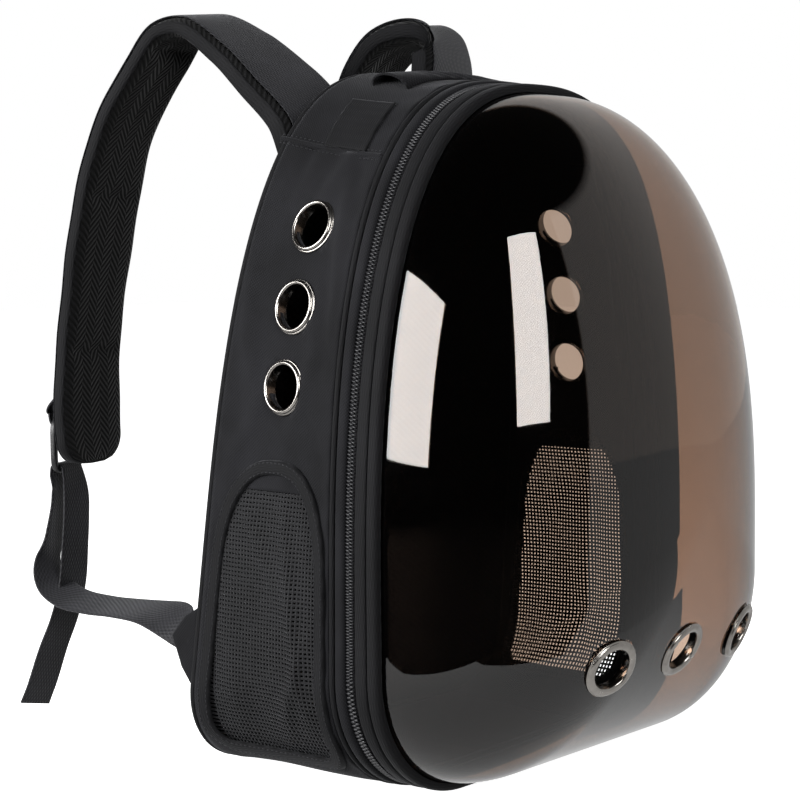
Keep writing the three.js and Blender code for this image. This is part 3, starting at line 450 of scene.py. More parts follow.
def strapMeshMaterial():
    # spacer mesh knitted in a herringbone: the distance round goes up and down by columns and shifts the ribs
    # along, as the sine of (along + zigzag) / pitch
    column, pitch = 0.009, 0.0042
    material, tree = newMaterial("herringbone spacer mesh")
    parts = addNode(tree, "ShaderNodeSeparateXYZ", None, {0: uvNode(tree)})
    zigzag = mathNode(tree, "PINGPONG", parts.outputs[1], column)
    shifted = mathNode(tree, "ADD", parts.outputs[0], zigzag)
    turns = mathNode(tree, "MULTIPLY", shifted, 2 * math.pi / pitch)
    height = rangeNode(tree, mathNode(tree, "SINE", turns), fromMin=-1.0)
    # the colour follows the rib height, darker in the grooves between the ribs: painted shade
    colour = colourMix(tree, height, "#030303", "#121213")
    relief = bumpNode(tree, height, 1.0, 0.0007)
    settings = {"Roughness": 0.8, "IOR": 1.45, "Specular IOR Level": 0.12, "Sheen Weight": 0.05}
    finishMaterial(tree, settings, {"Base Color": colour, "Normal": relief})
    return material


# Herringbone knit: short black ribs in columns that lean to and fro
strapMesh = strapMeshMaterial()
# Polyester thread
thread = clothMaterial("sewing thread", "#101012", "#242427", 0.5, 0.5, 0.6, 0.15, 0.3)
# Woven polyester net
netThread = clothMaterial("net thread", "#0a0a0b", "#1d1d1f", 0.6, 0.6, 0.7, 0.1, 0.3)


def plasticMaterial(name, colour, roughness):
    # moulded plastic: even colour, with a fine grain that breaks up its gloss
    material, tree = newMaterial(name)
    grain = noiseNode(tree, 2500.0, Detail=2.0)
    shade = rangeNode(tree, grain, roughness - 0.08, roughness + 0.1)
    relief = bumpNode(tree, grain, 0.2, 0.0001)
    finishMaterial(tree, {"Base Color": linear(colour), "IOR": 1.48}, {"Roughness": shade, "Normal": relief})
    return material


nylonCoil = plasticMaterial("nylon coil", "#17171a", 0.42)
acetal = plasticMaterial("moulded acetal", "#121214", 0.4)


def nickelMaterial():
    # steel stamped and plated with dark nickel: sharp highlights, clouded a little by handling
    material, tree = newMaterial("dark nickel plate")
    cloud = noiseNode(tree, 180.0, Detail=3.0)
    links = {"Roughness": rangeNode(tree, cloud, 0.16, 0.32),
             "Base Color": colourMix(tree, cloud, "#77736f", "#a5a19c")}
    finishMaterial(tree, {"Metallic": 1.0}, links)
    return material


nickel = nickelMaterial()


def domeMaterial():
    # thermoformed polycarbonate, tinted brown in the sheet: clear and glossy, its gloss a little uneven
    # from wiping
    material, tree = newMaterial("tinted polycarbonate")
    wiped = noiseNode(tree, 14.0, Detail=3.0, Distortion=0.6)
    links = {"Roughness": rangeNode(tree, wiped, 0.0, 0.03, 0.4, 0.7),
             "Base Color": colourMix(tree, wiped, "#ac9584", "#a89180")}
    finishMaterial(tree, {"Transmission Weight": 1.0, "IOR": 1.5}, links)
    return material


polycarbonate = domeMaterial()
print("materials ready")


# Cloth panels of the shell, with holes for the window and the eyelets
panel = {
    "cell": 3.0,
    "eyeletHole": 12.9, "eyeletShare": 0.605, "eyeletLowest": 219.0, "eyeletPitch": 43.0,
    "windowFront": 38.5, "windowBack": 12.0, "windowBottom": 15.0, "windowTop": 176.0,
    "windowPower": 2.5, "windowCorner": 14.0, "hem": 13.0,
    "pucker": 0.35, "slack": 0.5,
}


def nearestOn(points, polygon):
    # nearest point of a closed polygon to each point, how far it is, and whether the point is inside
    start, end = polygon, np.roll(polygon, -1, axis=0)
    edge = end - start
    t = np.clip(np.sum((points[:, None] - start) * edge, -1) / np.sum(edge ** 2, -1), 0, 1)
    near = start + t[..., None] * edge
    gap = np.linalg.norm(points[:, None] - near, axis=-1)
    best = np.argmin(gap, axis=1)
    rows = np.arange(len(points))
    isAcross = (start[:, 1] > points[:, 1:]) != (end[:, 1] > points[:, 1:])
    height = np.where(edge[:, 1] == 0, 1, edge[:, 1])
    crossing = start[:, 0] + (points[:, 1:] - start[:, 1]) * edge[:, 0] / height
    inside = np.sum(isAcross & (points[:, :1] < crossing), axis=1) % 2 == 1
    return near[rows, best], gap[rows, best], inside


def cutHoles(grid, quads, holes, reach):
    # points near a hole's edge move onto it, and the faces inside it go
    shape = grid.shape
    flat = grid.reshape(-1, 2).copy()
    keep = np.ones(len(quads), bool)
    for hole in holes:
        near, gap, inside = nearestOn(flat, hole)
        isEdge = gap < reach
        flat[isEdge] = near[isEdge]
        isOut = inside | isEdge
        keep &= ~isOut[quads].all(1)
    return flat.reshape(shape), keep


def windowOutline(margin, count=200):
    # flat floor with round corners under a superellipse arch, as distances from the ring and heights
    bottom, top = panel["windowBottom"] - margin, panel["windowTop"] + margin
    front = panel["windowFront"] - margin
    back = lambda z: backPlane(z) - bag["ringY"] - panel["windowBack"] + margin
    corner = panel["windowCorner"] + margin
    spring = mix(bottom, top, 0.62)
    turn = np.linspace(0, np.pi, 60)
    bend = 2 / panel["windowPower"]
    z = spring + (top - spring) * np.abs(np.sin(turn)) ** bend
    reach = np.sign(np.cos(turn)) * np.abs(np.cos(turn)) ** bend
    arch = np.stack([(front + back(z)) / 2 + (back(z) - front) / 2 * reach, z], -1)
    quarter = np.linspace(0, np.pi / 2, 10)
    inward, up = corner * (1 - np.sin(quarter)), corner * (1 - np.cos(quarter))
    backBend = np.stack([back(bottom) - inward, bottom + up], -1)
    frontBend = np.stack([front + inward, bottom + up], -1)[::-1]
    return resample(np.concatenate([backBend, arch, frontBend]), count, True)


# Folds and dents of each side's cloth: height, distance behind the ring plane, length and width of the fold,
# its turn from upright in degrees, and how far it stands out, in millimetres
foldTable = {
    "columns": ("z", "distance", "long", "wide", "turn", "out"),
    "left": (
        (300, 45, 40, 6, 8, 2.0), (330, 60, 26, 7, -25, 2.0), (345, 88, 24, 5, -12, -1.6),
        (262, 48, 30, 5, 4, -1.6), (236, 101, 34, 6, 10, 1.8), (215, 60, 26, 6, -20, 1.6),
        (190, 46, 22, 5, 30, -1.4), (190, 104, 26, 6, -30, 1.5), (283, 112, 44, 6, 6, 1.6),
        (205, 84, 10, 22, 0, -1.4), (340, 48, 18, 5, 20, -1.5), (60, 136, 50, 4, 0, 1.4),
        (262, 66, 22, 4, 38, 1.1), (10, 60, 8, 30, 0, 1.0), (6, 110, 8, 24, 0, -1.0),
    ),
    "right": (
        (295, 50, 38, 7, -6, 1.1), (335, 64, 24, 8, 22, 1.2), (240, 98, 30, 9, -8, 1.0),
        (215, 56, 24, 8, 18, 0.9), (280, 110, 40, 8, -6, 0.9), (190, 100, 24, 7, 28, 0.8),
        (60, 134, 48, 5, 0, 1.1), (10, 64, 8, 30, 0, 1.0),
    ),
}


def foldLift(rows, z, distance):
    # each fold is a long bell: out * exp(-(along / long) ^ 2 - (across / wide) ^ 2)
    rows = np.array(rows, float)
    foldZ, foldDistance, long, wide, turn, out = rows.T
    up, over = z[..., None] - foldZ, distance[..., None] - foldDistance
    turn = np.radians(turn)
    along = up * np.cos(turn) + over * np.sin(turn)
    across = over * np.cos(turn) - up * np.sin(turn)
    return np.sum(out * np.exp(-(along / long) ** 2 - (across / wide) ** 2), -1)


def clothPanel(name, fromArc, toArc, holes, folds):
    # sheet over part of the outline, from the rim to the back, with its holes cut and its folds raised
    rows = int(round((toArc - fromArc) / panel["cell"])) + 1
    columns = 37
    arc, v = np.meshgrid(np.linspace(fromArc, toArc, rows), np.linspace(0, 1, columns), indexing="ij")
    end = skinFromBack(shareAt(arc), bag["binding"] + bag["gap"], 0)[..., 1] - bag["ringY"]
    grid = pairs(arc, mix(bag["panelStart"], end, v))
    quads, lookup = gridQuads(rows, columns)
    grid, keep = cutHoles(grid, quads, holes, 0.62 * panel["cell"])
    quads, lookup = quads[keep], lookup[keep]
    share, distance = shareAt(grid[..., 0]), grid[..., 1]
    flat = skinFromRing(share, distance, bag["lift"])
    edge = smoothStep(v, 0, 0.12) * (1 - smoothStep(v, 0.9, 1))
    wave = np.sin(grid[..., 0] / 4.3 + 2 * np.sin(grid[..., 0] / 23))
    pucker = panel["pucker"] * wave * (1 - smoothStep(v, 0.02, 0.3))
    lift = bag["lift"] + pucker + (foldLift(foldTable[folds], flat[..., 2], distance) * edge if folds else 0)
    points = skinFromRing(share, distance, lift)
    piece = makePiece(name + "_cloth", points, quads, polyester, name, grid, lookup, (0, 0, 180))
    return thicken(piece, bag["cloth"])


def eyeletFrame(side, row):
    # place and outward direction of a side eyelet, square to the cloth
    z = panel["eyeletLowest"] + row * panel["eyeletPitch"]
    depth = panel["eyeletShare"]
    share = shareAtHeight(np.array(z), depth, bag["lift"])
    low, high = skin(side * (share - 0.01), depth, 0), skin(side * (share + 0.01), depth, 0)
    near, far = skin(side * share, depth - 0.1, 0), skin(side * share, depth + 0.1, 0)
    normal = unit(np.cross(high - low, far - near))
    normal = normal * (1 if normal[0] * side > 0 else -1)
    place = skin(side * share, depth, bag["lift"])
    return place, normal, float(arcAt(side * share)), float(place[1] - bag["ringY"])


sides = (("left", -1), ("right", 1))
seamArc = float(arcAt(bag["seam"]))
floorArc = float(arcAt(bag["cornerStart"]))
clothPanel("bottom_panel", -floorArc + bag["seamGap"], floorArc - bag["seamGap"], [], None)


def wrapPanel():
    # the top panel runs over the arch from one seam to the other, past the outline's end
    rows, columns = 121, 37
    run = np.linspace(seamArc + bag["seamGap"], 2 * halfRound - seamArc - bag["seamGap"], rows)
    arc, v = np.meshgrid(run, np.linspace(0, 1, columns), indexing="ij")
    share = np.where(arc > halfRound, 2 - shareAt(2 * halfRound - arc), shareAt(np.minimum(arc, halfRound)))
    end = skinFromBack(share, bag["binding"] + bag["gap"], 0)[..., 1] - bag["ringY"]
    distance = mix(bag["panelStart"], end, v)
    slack = panel["slack"] * np.sin(arc / 17 + 2 * v) * np.sin(np.pi * v)
    pucker = panel["pucker"] * np.sin(arc / 4.1) * (1 - smoothStep(v, 0.02, 0.3))
    points = skinFromRing(share, distance, bag["lift"] + (slack + pucker))
    quads, lookup = gridQuads(rows, columns)
    grid = pairs(arc, distance)
    piece = makePiece("top_panel_cloth", points, quads, polyester, "top_panel", grid, lookup,
                      (0, 0, 180))
    return thicken(piece, bag["cloth"])


wrapPanel()
circle = np.linspace(0, 2 * np.pi, 49)[:-1]
for sideName, side in sides:
    window = windowOutline(0)
    depth = window[:, 0] / (backPlane(window[:, 1]) - bag["ringY"])
    windowArc = arcAt(shareAtHeight(window[:, 1], depth, bag["lift"])) * side
    holes = [np.stack([windowArc, window[:, 0]], -1)]
    for row in range(3):
        _, _, holeArc, holeDistance = eyeletFrame(side, row)
        radius = panel["eyeletHole"]
        hole = [holeArc + radius * np.cos(circle), holeDistance + radius * np.sin(circle)]
        holes.append(np.stack(hole, -1))
    ends = sorted((side * (floorArc + bag["seamGap"]), side * (seamArc - bag["seamGap"])))
    clothPanel("side_panel_" + sideName, ends[0], ends[1], holes, sideName)
print("shell ready")


# Rim: two rolled edges that hold the dome, the zip, the flap behind it and a corded piping
rim = {
    "frontLip": 2.0, "frontDepth": 14.0, "groove": 5.9, "zipWidth": 7.4, "rearDepth": 6.5, "piping": 1.7,
    "inner": 0.3, "overlap": 0.8, "toothPitch": 2.0, "toothRadius": 0.62,
}
zipStart = rim["frontDepth"] + bag["gap"]
zipEnd = zipStart + rim["zipWidth"]
rearStart = zipEnd + bag["gap"]
rearEnd = rearStart + rim["rearDepth"]
pipingAt = rearEnd + bag["gap"] + rim["piping"]
top = bag["lift"]
frontRoll = rollSection(-rim["frontLip"], rim["groove"], 0.5, top, 0.0)
secondRoll = rollSection(rim["groove"], rim["frontDepth"], 2.4, top, -0.2)
inner = rim["inner"]
underside = [[rim["frontDepth"], inner], [-rim["frontLip"], inner]]
rimSection = np.concatenate([frontRoll, secondRoll[1:], underside])
roundBand("front_rim_rolls", rimSection, grosgrain, "front_rim")
flapStart = rearStart - rim["overlap"]
flapRoll = rollSection(flapStart, rearEnd, 0.8, top, 0.3)
flapSection = np.concatenate([flapRoll, [[rearEnd, inner], [flapStart, inner]]])
roundBand("rear_rim_flap", flapSection, polyester, "rear_rim")
ringTurn = circle[::4]
cord = rim["piping"]
cordSection = np.stack([pipingAt + cord * np.cos(ringTurn), top - 1.2 + cord * np.sin(ringTurn)], -1)
roundBand("rim_cord", cordSection, grosgrain, "rim_piping")
zipMiddle = (zipStart + zipEnd) / 2
tapeSection = [[zipStart, 1.0], [zipStart, 2.6], [zipMiddle - 1.2, 2.7], [zipMiddle + 1.2, 2.7],
               [zipEnd - 1, 2.6], [zipEnd - 1, 1.0]]
roundBand("zip_tape", tapeSection, grosgrain, "zip")


def zipCoil(name, offset, phase):
    # one row of coil teeth: short capsules lying across the tape, one for each tooth pitch
    count = int(2 * halfRound / rim["toothPitch"])
    middles = (np.arange(count) + phase) * 2 * halfRound / count - halfRound
    ring = np.array([-1.0, -0.9, -0.4, 0.4, 0.9, 1.0]) * 1.5
    thick = np.array([0.2, 0.75, 1, 1, 0.75, 0.2]) * rim["toothRadius"]
    turn = 2 * np.pi * np.arange(6) / 6
    distance = zipMiddle + offset + ring[:, None] + 0 * turn
    lift = 3.3 + thick[:, None] * 1.25 * np.sin(turn)
    slide = thick[:, None] * np.cos(turn)
    points = skinFromRing(shareAt(middles[:, None, None] + slide[None]), distance[None], lift[None])
    quads, _ = gridQuads(6, 6, False, True)
    cap = np.array([[0, 1, 4, 5], [1, 2, 3, 4]])
    quads = np.concatenate([quads, cap, cap[:, ::-1] + 30])
    every = (quads[None] + 36 * np.arange(count)[:, None, None]).reshape(-1, 4)
    return makePiece(name, points, every, nylonCoil)


zipCoil("zip_coil_front", -1.05, 0.25)
zipCoil("zip_coil_rear", 1.05, 0.75)
for row, (distance, lift) in enumerate(((4.4, 4.0), (7.2, 4.0), (12.6, 3.9), (27.2, 4.3))):
    path, out = roundPath(distance, lift, 700)
    stitchRow(f"rim_stitches_{row + 1}", path, out, thread, isLoop=True)
print("rim ready")


# Side windows: a net of single threads that hangs slack inside a bound edge
net = {"pitch": 2.4, "thread": 0.74, "bulge": 5.5, "bindingWidth": 8.0, "bindingThickness": 2.0}
netFolds = {
    "columns": ("z", "distance", "long", "wide", "turn", "out"),
    "left": (
        (95, 60, 60, 5, 8, 3.0), (45, 66, 40, 5, -22, 3.0), (34, 92, 26, 12, -30, -3.5),
        (130, 84, 40, 5, 32, 1.6), (70, 110, 40, 9, 5, 1.4),
    ),
    "right": (
        (90, 64, 60, 6, -6, 2.6), (40, 70, 36, 6, 20, 2.4), (36, 95, 26, 12, 28, -3.0),
        (128, 86, 38, 6, -30, 1.4),
    ),
}


def netPoint(name, side, distance, z, raised=0.0):
    # the net stands out by a dome that is flat at the edge, with folds as long bells
    rearEdge = backPlane(panel["windowBottom"]) - bag["ringY"] - panel["windowBack"]
    middle = mix(panel["windowFront"], rearEdge, 0.5)
    half = middle - panel["windowFront"]
    height = (panel["windowTop"] - panel["windowBottom"]) / 2
    u, w = (distance - middle) / half, (z - panel["windowBottom"] - height) / height
    r = np.minimum((np.abs(u) ** 3 + np.abs(w) ** 3) ** (1 / 3), 1)
    fade = (1 - r ** 3) ** 1.5
    folds = foldLift(netFolds[name], z, distance)
    lift = bag["lift"] - 1.6 + raised + net["bulge"] * fade * 0.8 + folds * np.sqrt(fade)
    return sidePoint(side, distance, z, lift)


def netWindow(name, side):
    # two sets of threads, one along the height and one across, each thread a four-sided tube
    edge = windowOutline(1.2, 400)
    sets = []
    for axis in (0, 1):
        low, high = edge[:, axis].min(), edge[:, axis].max()
        lines = np.arange(low + net["pitch"] * 0.6, high - net["pitch"] * 0.4, net["pitch"])
        other = edge[:, 1 - axis]
        isUpper = other > np.median(other) if axis == 0 else other > mix(panel["windowFront"], 130, 0.4)
        upper = np.array([other[isUpper][np.argmin(np.abs(edge[isUpper, axis] - line))] for line in lines])
        lower = np.array([other[~isUpper][np.argmin(np.abs(edge[~isUpper, axis] - line))] for line in lines])
        count = 120 if axis == 0 else 76
        t = np.linspace(0, 1, count)
        run = mix(lower[:, None], upper[:, None], t)
        fixed = np.broadcast_to(lines[:, None], run.shape)
        sets.append((fixed, run) if axis == 0 else (run, fixed))
    allPoints, allQuads, start = [], [], 0
    for axis, (distance, z) in enumerate(sets):
        sag = 1.2 * np.sin(z / 21 + distance / 17)
        path = netPoint(name, side, distance + sag * 0.5, z)
        along = unit(np.gradient(path, axis=1))
        step = (0.5, 0) if axis == 0 else (0, 0.5)
        across = unit(netPoint(name, side, distance + sag * 0.5 + step[0], z + step[1]) - path)
        up = np.cross(along, across)
        half = net["thread"]
        section = ((-half, 0), (0, 0.22), (half, 0), (0, -0.22))
        rings = np.stack([path + a * across + b * up for a, b in section], 2)
        lines, count = path.shape[:2]
        quads, _ = gridQuads(count, 4, False, True)
        cap = np.array([[0, 1, 2, 3]])
        quads = np.concatenate([quads, cap, cap[:, ::-1] + (count - 1) * 4])
        allQuads.append((quads[None] + start + count * 4 * np.arange(lines)[:, None, None]).reshape(-1, 4))
        allPoints.append(rings.reshape(-1, 3))
        start += len(allPoints[-1])
    points = np.concatenate(allPoints)
    piece = makePiece("net_window_" + name + "_threads", points, np.concatenate(allQuads), netThread,
                      "net_window_" + name)


def windowBinding(name, side):
    # bound edge of the window: a soft band that follows the outline on the cloth
    outer, inner = windowOutline(net["bindingWidth"] / 2), windowOutline(-net["bindingWidth"] / 2)
    t = np.linspace(0, 1, 12)[None, :, None]
    line = mix(outer[:, None], inner[:, None], t)
    crown = net["bindingThickness"] * (1 - np.abs(2 * t[..., 0] - 1) ** 3) ** (1 / 3)
    low = bag["lift"] + 0.9
    upper = sidePoint(side, line[..., 0], line[..., 1], low + crown)
    lower = sidePoint(side, line[:, 1:-1, 0][:, ::-1], line[:, 1:-1, 1][:, ::-1], low - 0.5)
    points = np.concatenate([upper, lower], 1)
    quads, lookup = gridQuads(*points.shape[:2], True, True)
    along, around = runLength(outer, True), np.arange(points.shape[1] + 1) * 0.8
    uv = np.stack(np.meshgrid(along, around, indexing="ij"), -1)
    node = "window_binding_" + name
    makePiece(node + "_band", points, quads, grosgrain, node, uv, lookup)
    for row, margin in enumerate((2.6, -2.6)):
        line = windowOutline(margin, 300)
        path = sidePoint(side, line[:, 0], line[:, 1], low + net["bindingThickness"] * 0.95)
        up = unit(sidePoint(side, line[:, 0], line[:, 1], low + 4) - path)
        stitchRow(f"window_stitches_{name}_{row + 1}", path, up, thread, isLoop=True)


def windowHem(name, side):
    # smooth cloth between a straight lower edge and the arch, folded over the top of the net
    edge = windowOutline(1.5, 600)
    low = panel["windowTop"] - panel["hem"]
    arch = edge[edge[:, 1] > low]
    arch = resample(arch[np.argsort(arch[:, 0])], 61)
    base = pairs(np.linspace(arch[0, 0], arch[-1, 0], 61), low)
    flat = mix(base[None], arch[None], np.linspace(0, 1, 9)[:, None, None])
    soft = 0.5 * np.sin(flat[..., 0] / 6) * np.sin(flat[..., 1] / 5)
    points = netPoint(name, side, flat[..., 0], flat[..., 1], 1.2 + soft)
    quads, lookup = gridQuads(9, 61)
    piece = makePiece("window_hem_" + name, points, quads, polyester, None, flat, lookup,
                      (0, 0, 100))
    thicken(piece, 0.8)


for sideName, side in sides:
    netWindow(sideName, side)
    windowBinding(sideName, side)
    windowHem(sideName, side)
print("windows ready")


# Eyelets: a rolled flange, a barrel through the sheet and a washer behind it
eyelets = {"hole": 12.0, "flange": 15.2, "rise": 1.9, "domeHole": 11.4, "domeFlange": 16.5}


def turnedPiece(name, place, normal, profile, material, node):
    # turns a closed profile of radii and heights about the outward direction
    profile = np.asarray(profile, float)
    first = unit(np.cross((0.0, 0.0, 1.0), normal))
    second = np.cross(normal, first)
    turn = np.linspace(0, 2 * np.pi, 65)[:-1, None, None]
    points = (place + profile[None, :, 1:] * normal
              + profile[None, :, :1] * (np.cos(turn) * first + np.sin(turn) * second))
    quads, _ = gridQuads(64, len(profile), True, True)
    return makePiece(name, points, quads, material, node)


def eyeletProfile(hole, flange, sheet, rise, sink):
    # half a rolled ring over the sheet, with a fine step round it, down the barrel to a flat washer
    roll = np.linspace(np.pi, 0, 13)
    middle, half = (hole + flange - 0.7) / 2, (flange - 0.7 - hole) / 2
    over = np.stack([middle + half * np.cos(roll), 0.5 + (rise - 0.5) * np.sin(roll) ** 0.8], -1)
    under = -sheet - sink
    rest = [[flange - 0.5, 0.55], [flange, 0.3], [flange, 0.1], [hole + 0.9, 0.1], [hole + 0.9, under + 0.8],
            [flange - 1, under + 0.8], [flange - 1, under], [hole + 0.4, under - 0.6], [hole, under]]
    return np.concatenate([over, rest])


for sideName, side in sides:
    for row in range(3):
        place, normal, _, _ = eyeletFrame(side, row)
        profile = eyeletProfile(eyelets["hole"], eyelets["flange"], bag["cloth"], eyelets["rise"] + 0.4, 2.4)
        node = f"side_eyelet_{sideName}_{row + 1}"
        turnedPiece(node + "_ring", place + 0.5 * normal, normal, profile, nickel, node)
print("eyelets ready")


# Dome: the ring line shrinks towards a centre as it comes forward, as cosine and sine to the power 2 / power
dome = {"reach": 112.0, "wall": 2.2, "power": 1.955, "centre": 155.0, "tuck": 9.0, "holeSpacing": 63.0,
        "holeHeight": 76.0, "around": 240, "forward": 64}
domeCentre = np.array([0.0, bag["ringY"], dome["centre"] + bag["lift"]])


def domePoint(share, turn, inward=0.0):
    edge = skin(share, 0.0, -bag["gap"] - inward)
    shrink = np.maximum(np.cos(turn), 0) ** (2 / dome["power"])
    point = mix(domeCentre, edge, shrink[..., None])
    forward = (dome["reach"] - inward) * np.sin(turn) ** (2 / dome["power"])
    return np.stack(np.broadcast_arrays(point[..., 0], bag["ringY"] - forward, point[..., 2]), -1)


def domeFrame(x, z):
    # place and outward direction on the dome, straight behind a point of its front view
    edge = skin(tableShares, 0.0, -bag["gap"]) - domeCentre
    angle = np.unwrap(np.arctan2(edge[:, 0], -edge[:, 2]))
    angle = angle - angle[len(angle) // 2]
    wanted = np.arctan2(x, -(z - domeCentre[2]))
    share = np.interp(wanted, angle, tableShares)
    reach = np.hypot(*np.moveaxis(skin(share, 0.0, -bag["gap"])[..., [0, 2]] - domeCentre[[0, 2]], -1, 0))
    turn = np.arccos(np.clip((np.hypot(x, z - domeCentre[2]) / reach) ** (dome["power"] / 2), 0, 1))
    step = 0.01
    place = domePoint(share, turn)
    normal = np.cross(domePoint(share + step, turn) - domePoint(share - step, turn),
                      domePoint(share, turn + step) - domePoint(share, turn - step))
    normal = unit(normal)
    return place, normal * (1 if normal[1] < 0 else -1)


def makeDome():
    shares = shareAt(np.linspace(-halfRound, halfRound, dome["around"] + 1)[:-1])
    turns = np.linspace(0, np.pi / 2, dome["forward"] + 1)[:-1]
    tuck = np.stack([skinFromRing(shares, dome["tuck"] * part, -bag["gap"]) for part in (1, 0.6, 0.25)])
    rings = np.concatenate([tuck, domePoint(shares[None], turns[:, None])])
    tip = np.array([[0, bag["ringY"] - dome["reach"], domeCentre[2]]])
    points = np.concatenate([rings.reshape(-1, 3), tip])
    quads, _ = gridQuads(len(rings), dome["around"], False, True)
    k = 2 * np.arange(dome["around"] // 2)
    last = (len(rings) - 1) * dome["around"]
    fan = [np.full(len(k), len(points) - 1), last + (k + 2) % dome["around"], last + k + 1, last + k]
    fan = np.stack(fan, -1)
    for x in (-dome["holeSpacing"], 0, dome["holeSpacing"]):
        place, normal = domeFrame(x, dome["holeHeight"])
        offset = points - place
        flat = offset - np.sum(offset * normal, -1, keepdims=True) * normal
        away = np.linalg.norm(flat, axis=-1)
        radius = eyelets["domeHole"] + 1.2
        isNear = (np.abs(away - radius) < 1.7) & (points[:, 1] < bag["ringY"])
        points[isNear] += (flat / np.maximum(away, 1e-6)[:, None] * (radius - away)[:, None])[isNear]
        isIn = (away < radius) | isNear
        quads = quads[~(isIn[quads].all(1) & (points[quads][:, :, 1].max(1) < bag["ringY"]))]
    piece = makePiece("dome_shell", points, np.concatenate([quads, fan]), polycarbonate, "dome",
                      awayFrom=(0, -80, 180))
    return thicken(piece, dome["wall"])


makeDome()
for row in range(3):
    place, normal = domeFrame((row - 1) * dome["holeSpacing"], dome["holeHeight"])
    profile = eyeletProfile(eyelets["domeHole"], eyelets["domeFlange"], dome["wall"], eyelets["rise"], 1.6)
    node = f"dome_eyelet_{row + 1}"
    turnedPiece(node + "_ring", place, normal, profile, nickel, node)
print("dome ready")


# Shoulder straps. across: share of half the bag's width. behind: share of the reach from the back panel.
# below: share of the drop from the peak. yaw, roll: degrees of the strap's width line.
straps = {"width": 58.0, "thickness": 11.0, "peak": 432.0, "root": 372.0, "drop": 270.0, "reach": 178.0,
          "end": 16.0, "binding": 1.3}
strapTable = {
    "columns": ("across", "behind", "below", "yaw", "roll", "width", "thick"),
    "left": (
        (-0.335, 0.028, 0.3, 12, 20, 1.22, 1.5), (-0.365, 0.09, 0.215, 22, 21, 1.22, 1.45),
        (-0.41, 0.202, 0.134, 25, 19, 1.22, 1.35), (-0.455, 0.326, 0.063, 25, 14, 1.2, 1.25),
        (-0.515, 0.463, 0.012, 24, 7, 1.12, 1.1), (-0.56, 0.567, 0.03, 21, 2, 1.06, 1),
        (-0.592, 0.655, 0.103, 18, 0, 1.02, 1), (-0.618, 0.775, 0.213, 15, 0, 1, 1),
        (-0.635, 0.835, 0.307, 14, 0, 1, 1), (-0.655, 0.912, 0.517, 13, 0, 0.98, 1),
        (-0.662, 0.972, 0.741, 12, 0, 0.97, 1), (-0.658, 0.989, 0.881, 12, 0, 0.97, 1),
        (-0.652, 0.983, 1.0, 12, 0, 0.97, 1),
    ),
    "right": (
        (0.43, 0.03, 0.304, 8, 0, 1.3, 1.4), (0.47, 0.062, 0.14, 18, 3, 1.3, 1.4),
        (0.475, 0.073, 0.08, 20, 3, 1.3, 1.4), (0.46, 0.09, 0.04, 20, 2, 1.28, 1.4),
        (0.425, 0.124, 0.018, 20, 1, 1.3, 1.35), (0.375, 0.174, 0.014, 20, 0, 1.32, 1.3),
        (0.325, 0.26, 0.04, 20, 0, 1.32, 1.2), (0.285, 0.337, 0.11, 20, 0, 1.25, 1.1),
        (0.262, 0.416, 0.259, 18, 0, 1.1, 1), (0.301, 0.539, 0.415, 14, 0, 0.98, 1),
        (0.397, 0.596, 0.581, 2, 0, 0.97, 1), (0.493, 0.618, 0.748, -8, 0, 0.97, 1),
        (0.575, 0.624, 0.915, -12, 0, 0.97, 1), (0.59, 0.62, 1.0, -12, 0, 0.97, 1),
    ),
}
halfWidth = 146.0


def widthLine(path, yaw, roll):
    # across and inward directions: the width line is turned by yaw and roll, then made square to the path
    yaw, roll = np.radians(yaw), np.radians(roll)
    line = np.stack([np.cos(yaw) * np.cos(roll), np.sin(yaw) * np.cos(roll), np.sin(roll)], -1)
    along = unit(np.gradient(path, axis=0))
    inward = unit(np.cross(along, line))
    return np.cross(inward, along), inward


def strapLine(name, count=240):
    rows = np.array(strapTable[name], float)
    places = np.stack([rows[:, 0] * halfWidth, backPlane(straps["root"]) + rows[:, 1] * straps["reach"],
                       straps["peak"] - rows[:, 2] * straps["drop"]], -1)
    line = smoothLine(np.concatenate([places, rows[:, 3:]], 1), count)
    across, inward = widthLine(line[:, :3], line[:, 3], line[:, 4])
    return line[:, :3], across, inward, line[:, 5], line[:, 6]


def shoulderStrap(name):
    # padded band: each section is a superellipse that thins at its edges and at the cross tucks
    path, across, inward, width, thick = strapLine(name)
    left = np.minimum(np.linalg.norm(path - path[-1], axis=-1) / straps["end"], 1)
    half = straps["width"] / 2 * width * (0.3 + 0.7 * np.sqrt(1 - (1 - left) ** 2))
    full = straps["thickness"] * thick
    run = runLength(path)
    share = run / run[-1]
    tucks = sum(np.exp(-((share - at) * run[-1] / 4) ** 2) for at in (0.36, 0.6, 0.83))
    half = half + 0.7 * np.sin(run / 19) + 0.4 * np.sin(run / 7.3)
    turn = 2 * np.pi * (np.arange(40) + 0.5) / 40
    bend = lambda v, power: np.sign(v) * np.abs(v) ** (2 / power)
    a = bend(np.cos(turn), 6)
    b = bend(np.sin(turn), 3.4)
    flat = full[:, None] * (1 - 0.5 * tucks[:, None] * (1 - np.abs(a) ** 4))
    section = np.stack([half[:, None] * a, full[:, None] / 2 + flat / 2 * b], -1)
    body = sweptPiece(f"shoulder_strap_{name}_pad", path, across, inward, section, strapMesh,
                      "shoulder_strap_" + name)
    coarse = turn[::2]
    section = pairs(straps["binding"] * np.cos(coarse), 0.3 * full[:, None] * np.sin(coarse))
    for edge, sign in (("front", 1), ("rear", -1)):
        line = path + across * (sign * (half - 0.5))[:, None] + inward * (full / 2)[:, None]
        sweptPiece(f"strap_binding_{name}_{edge}", line, across, inward, section, grosgrain)
    # woven cover of the outer face, sewn on between the bindings
    cover = np.stack([half[:, None] * 0.9 * a, -0.7 + 0.6 * b + 0 * full[:, None]], -1)
    sweptPiece(f"strap_cover_{name}", path, across, inward, cover, webbingCloth)
    return path, across, inward


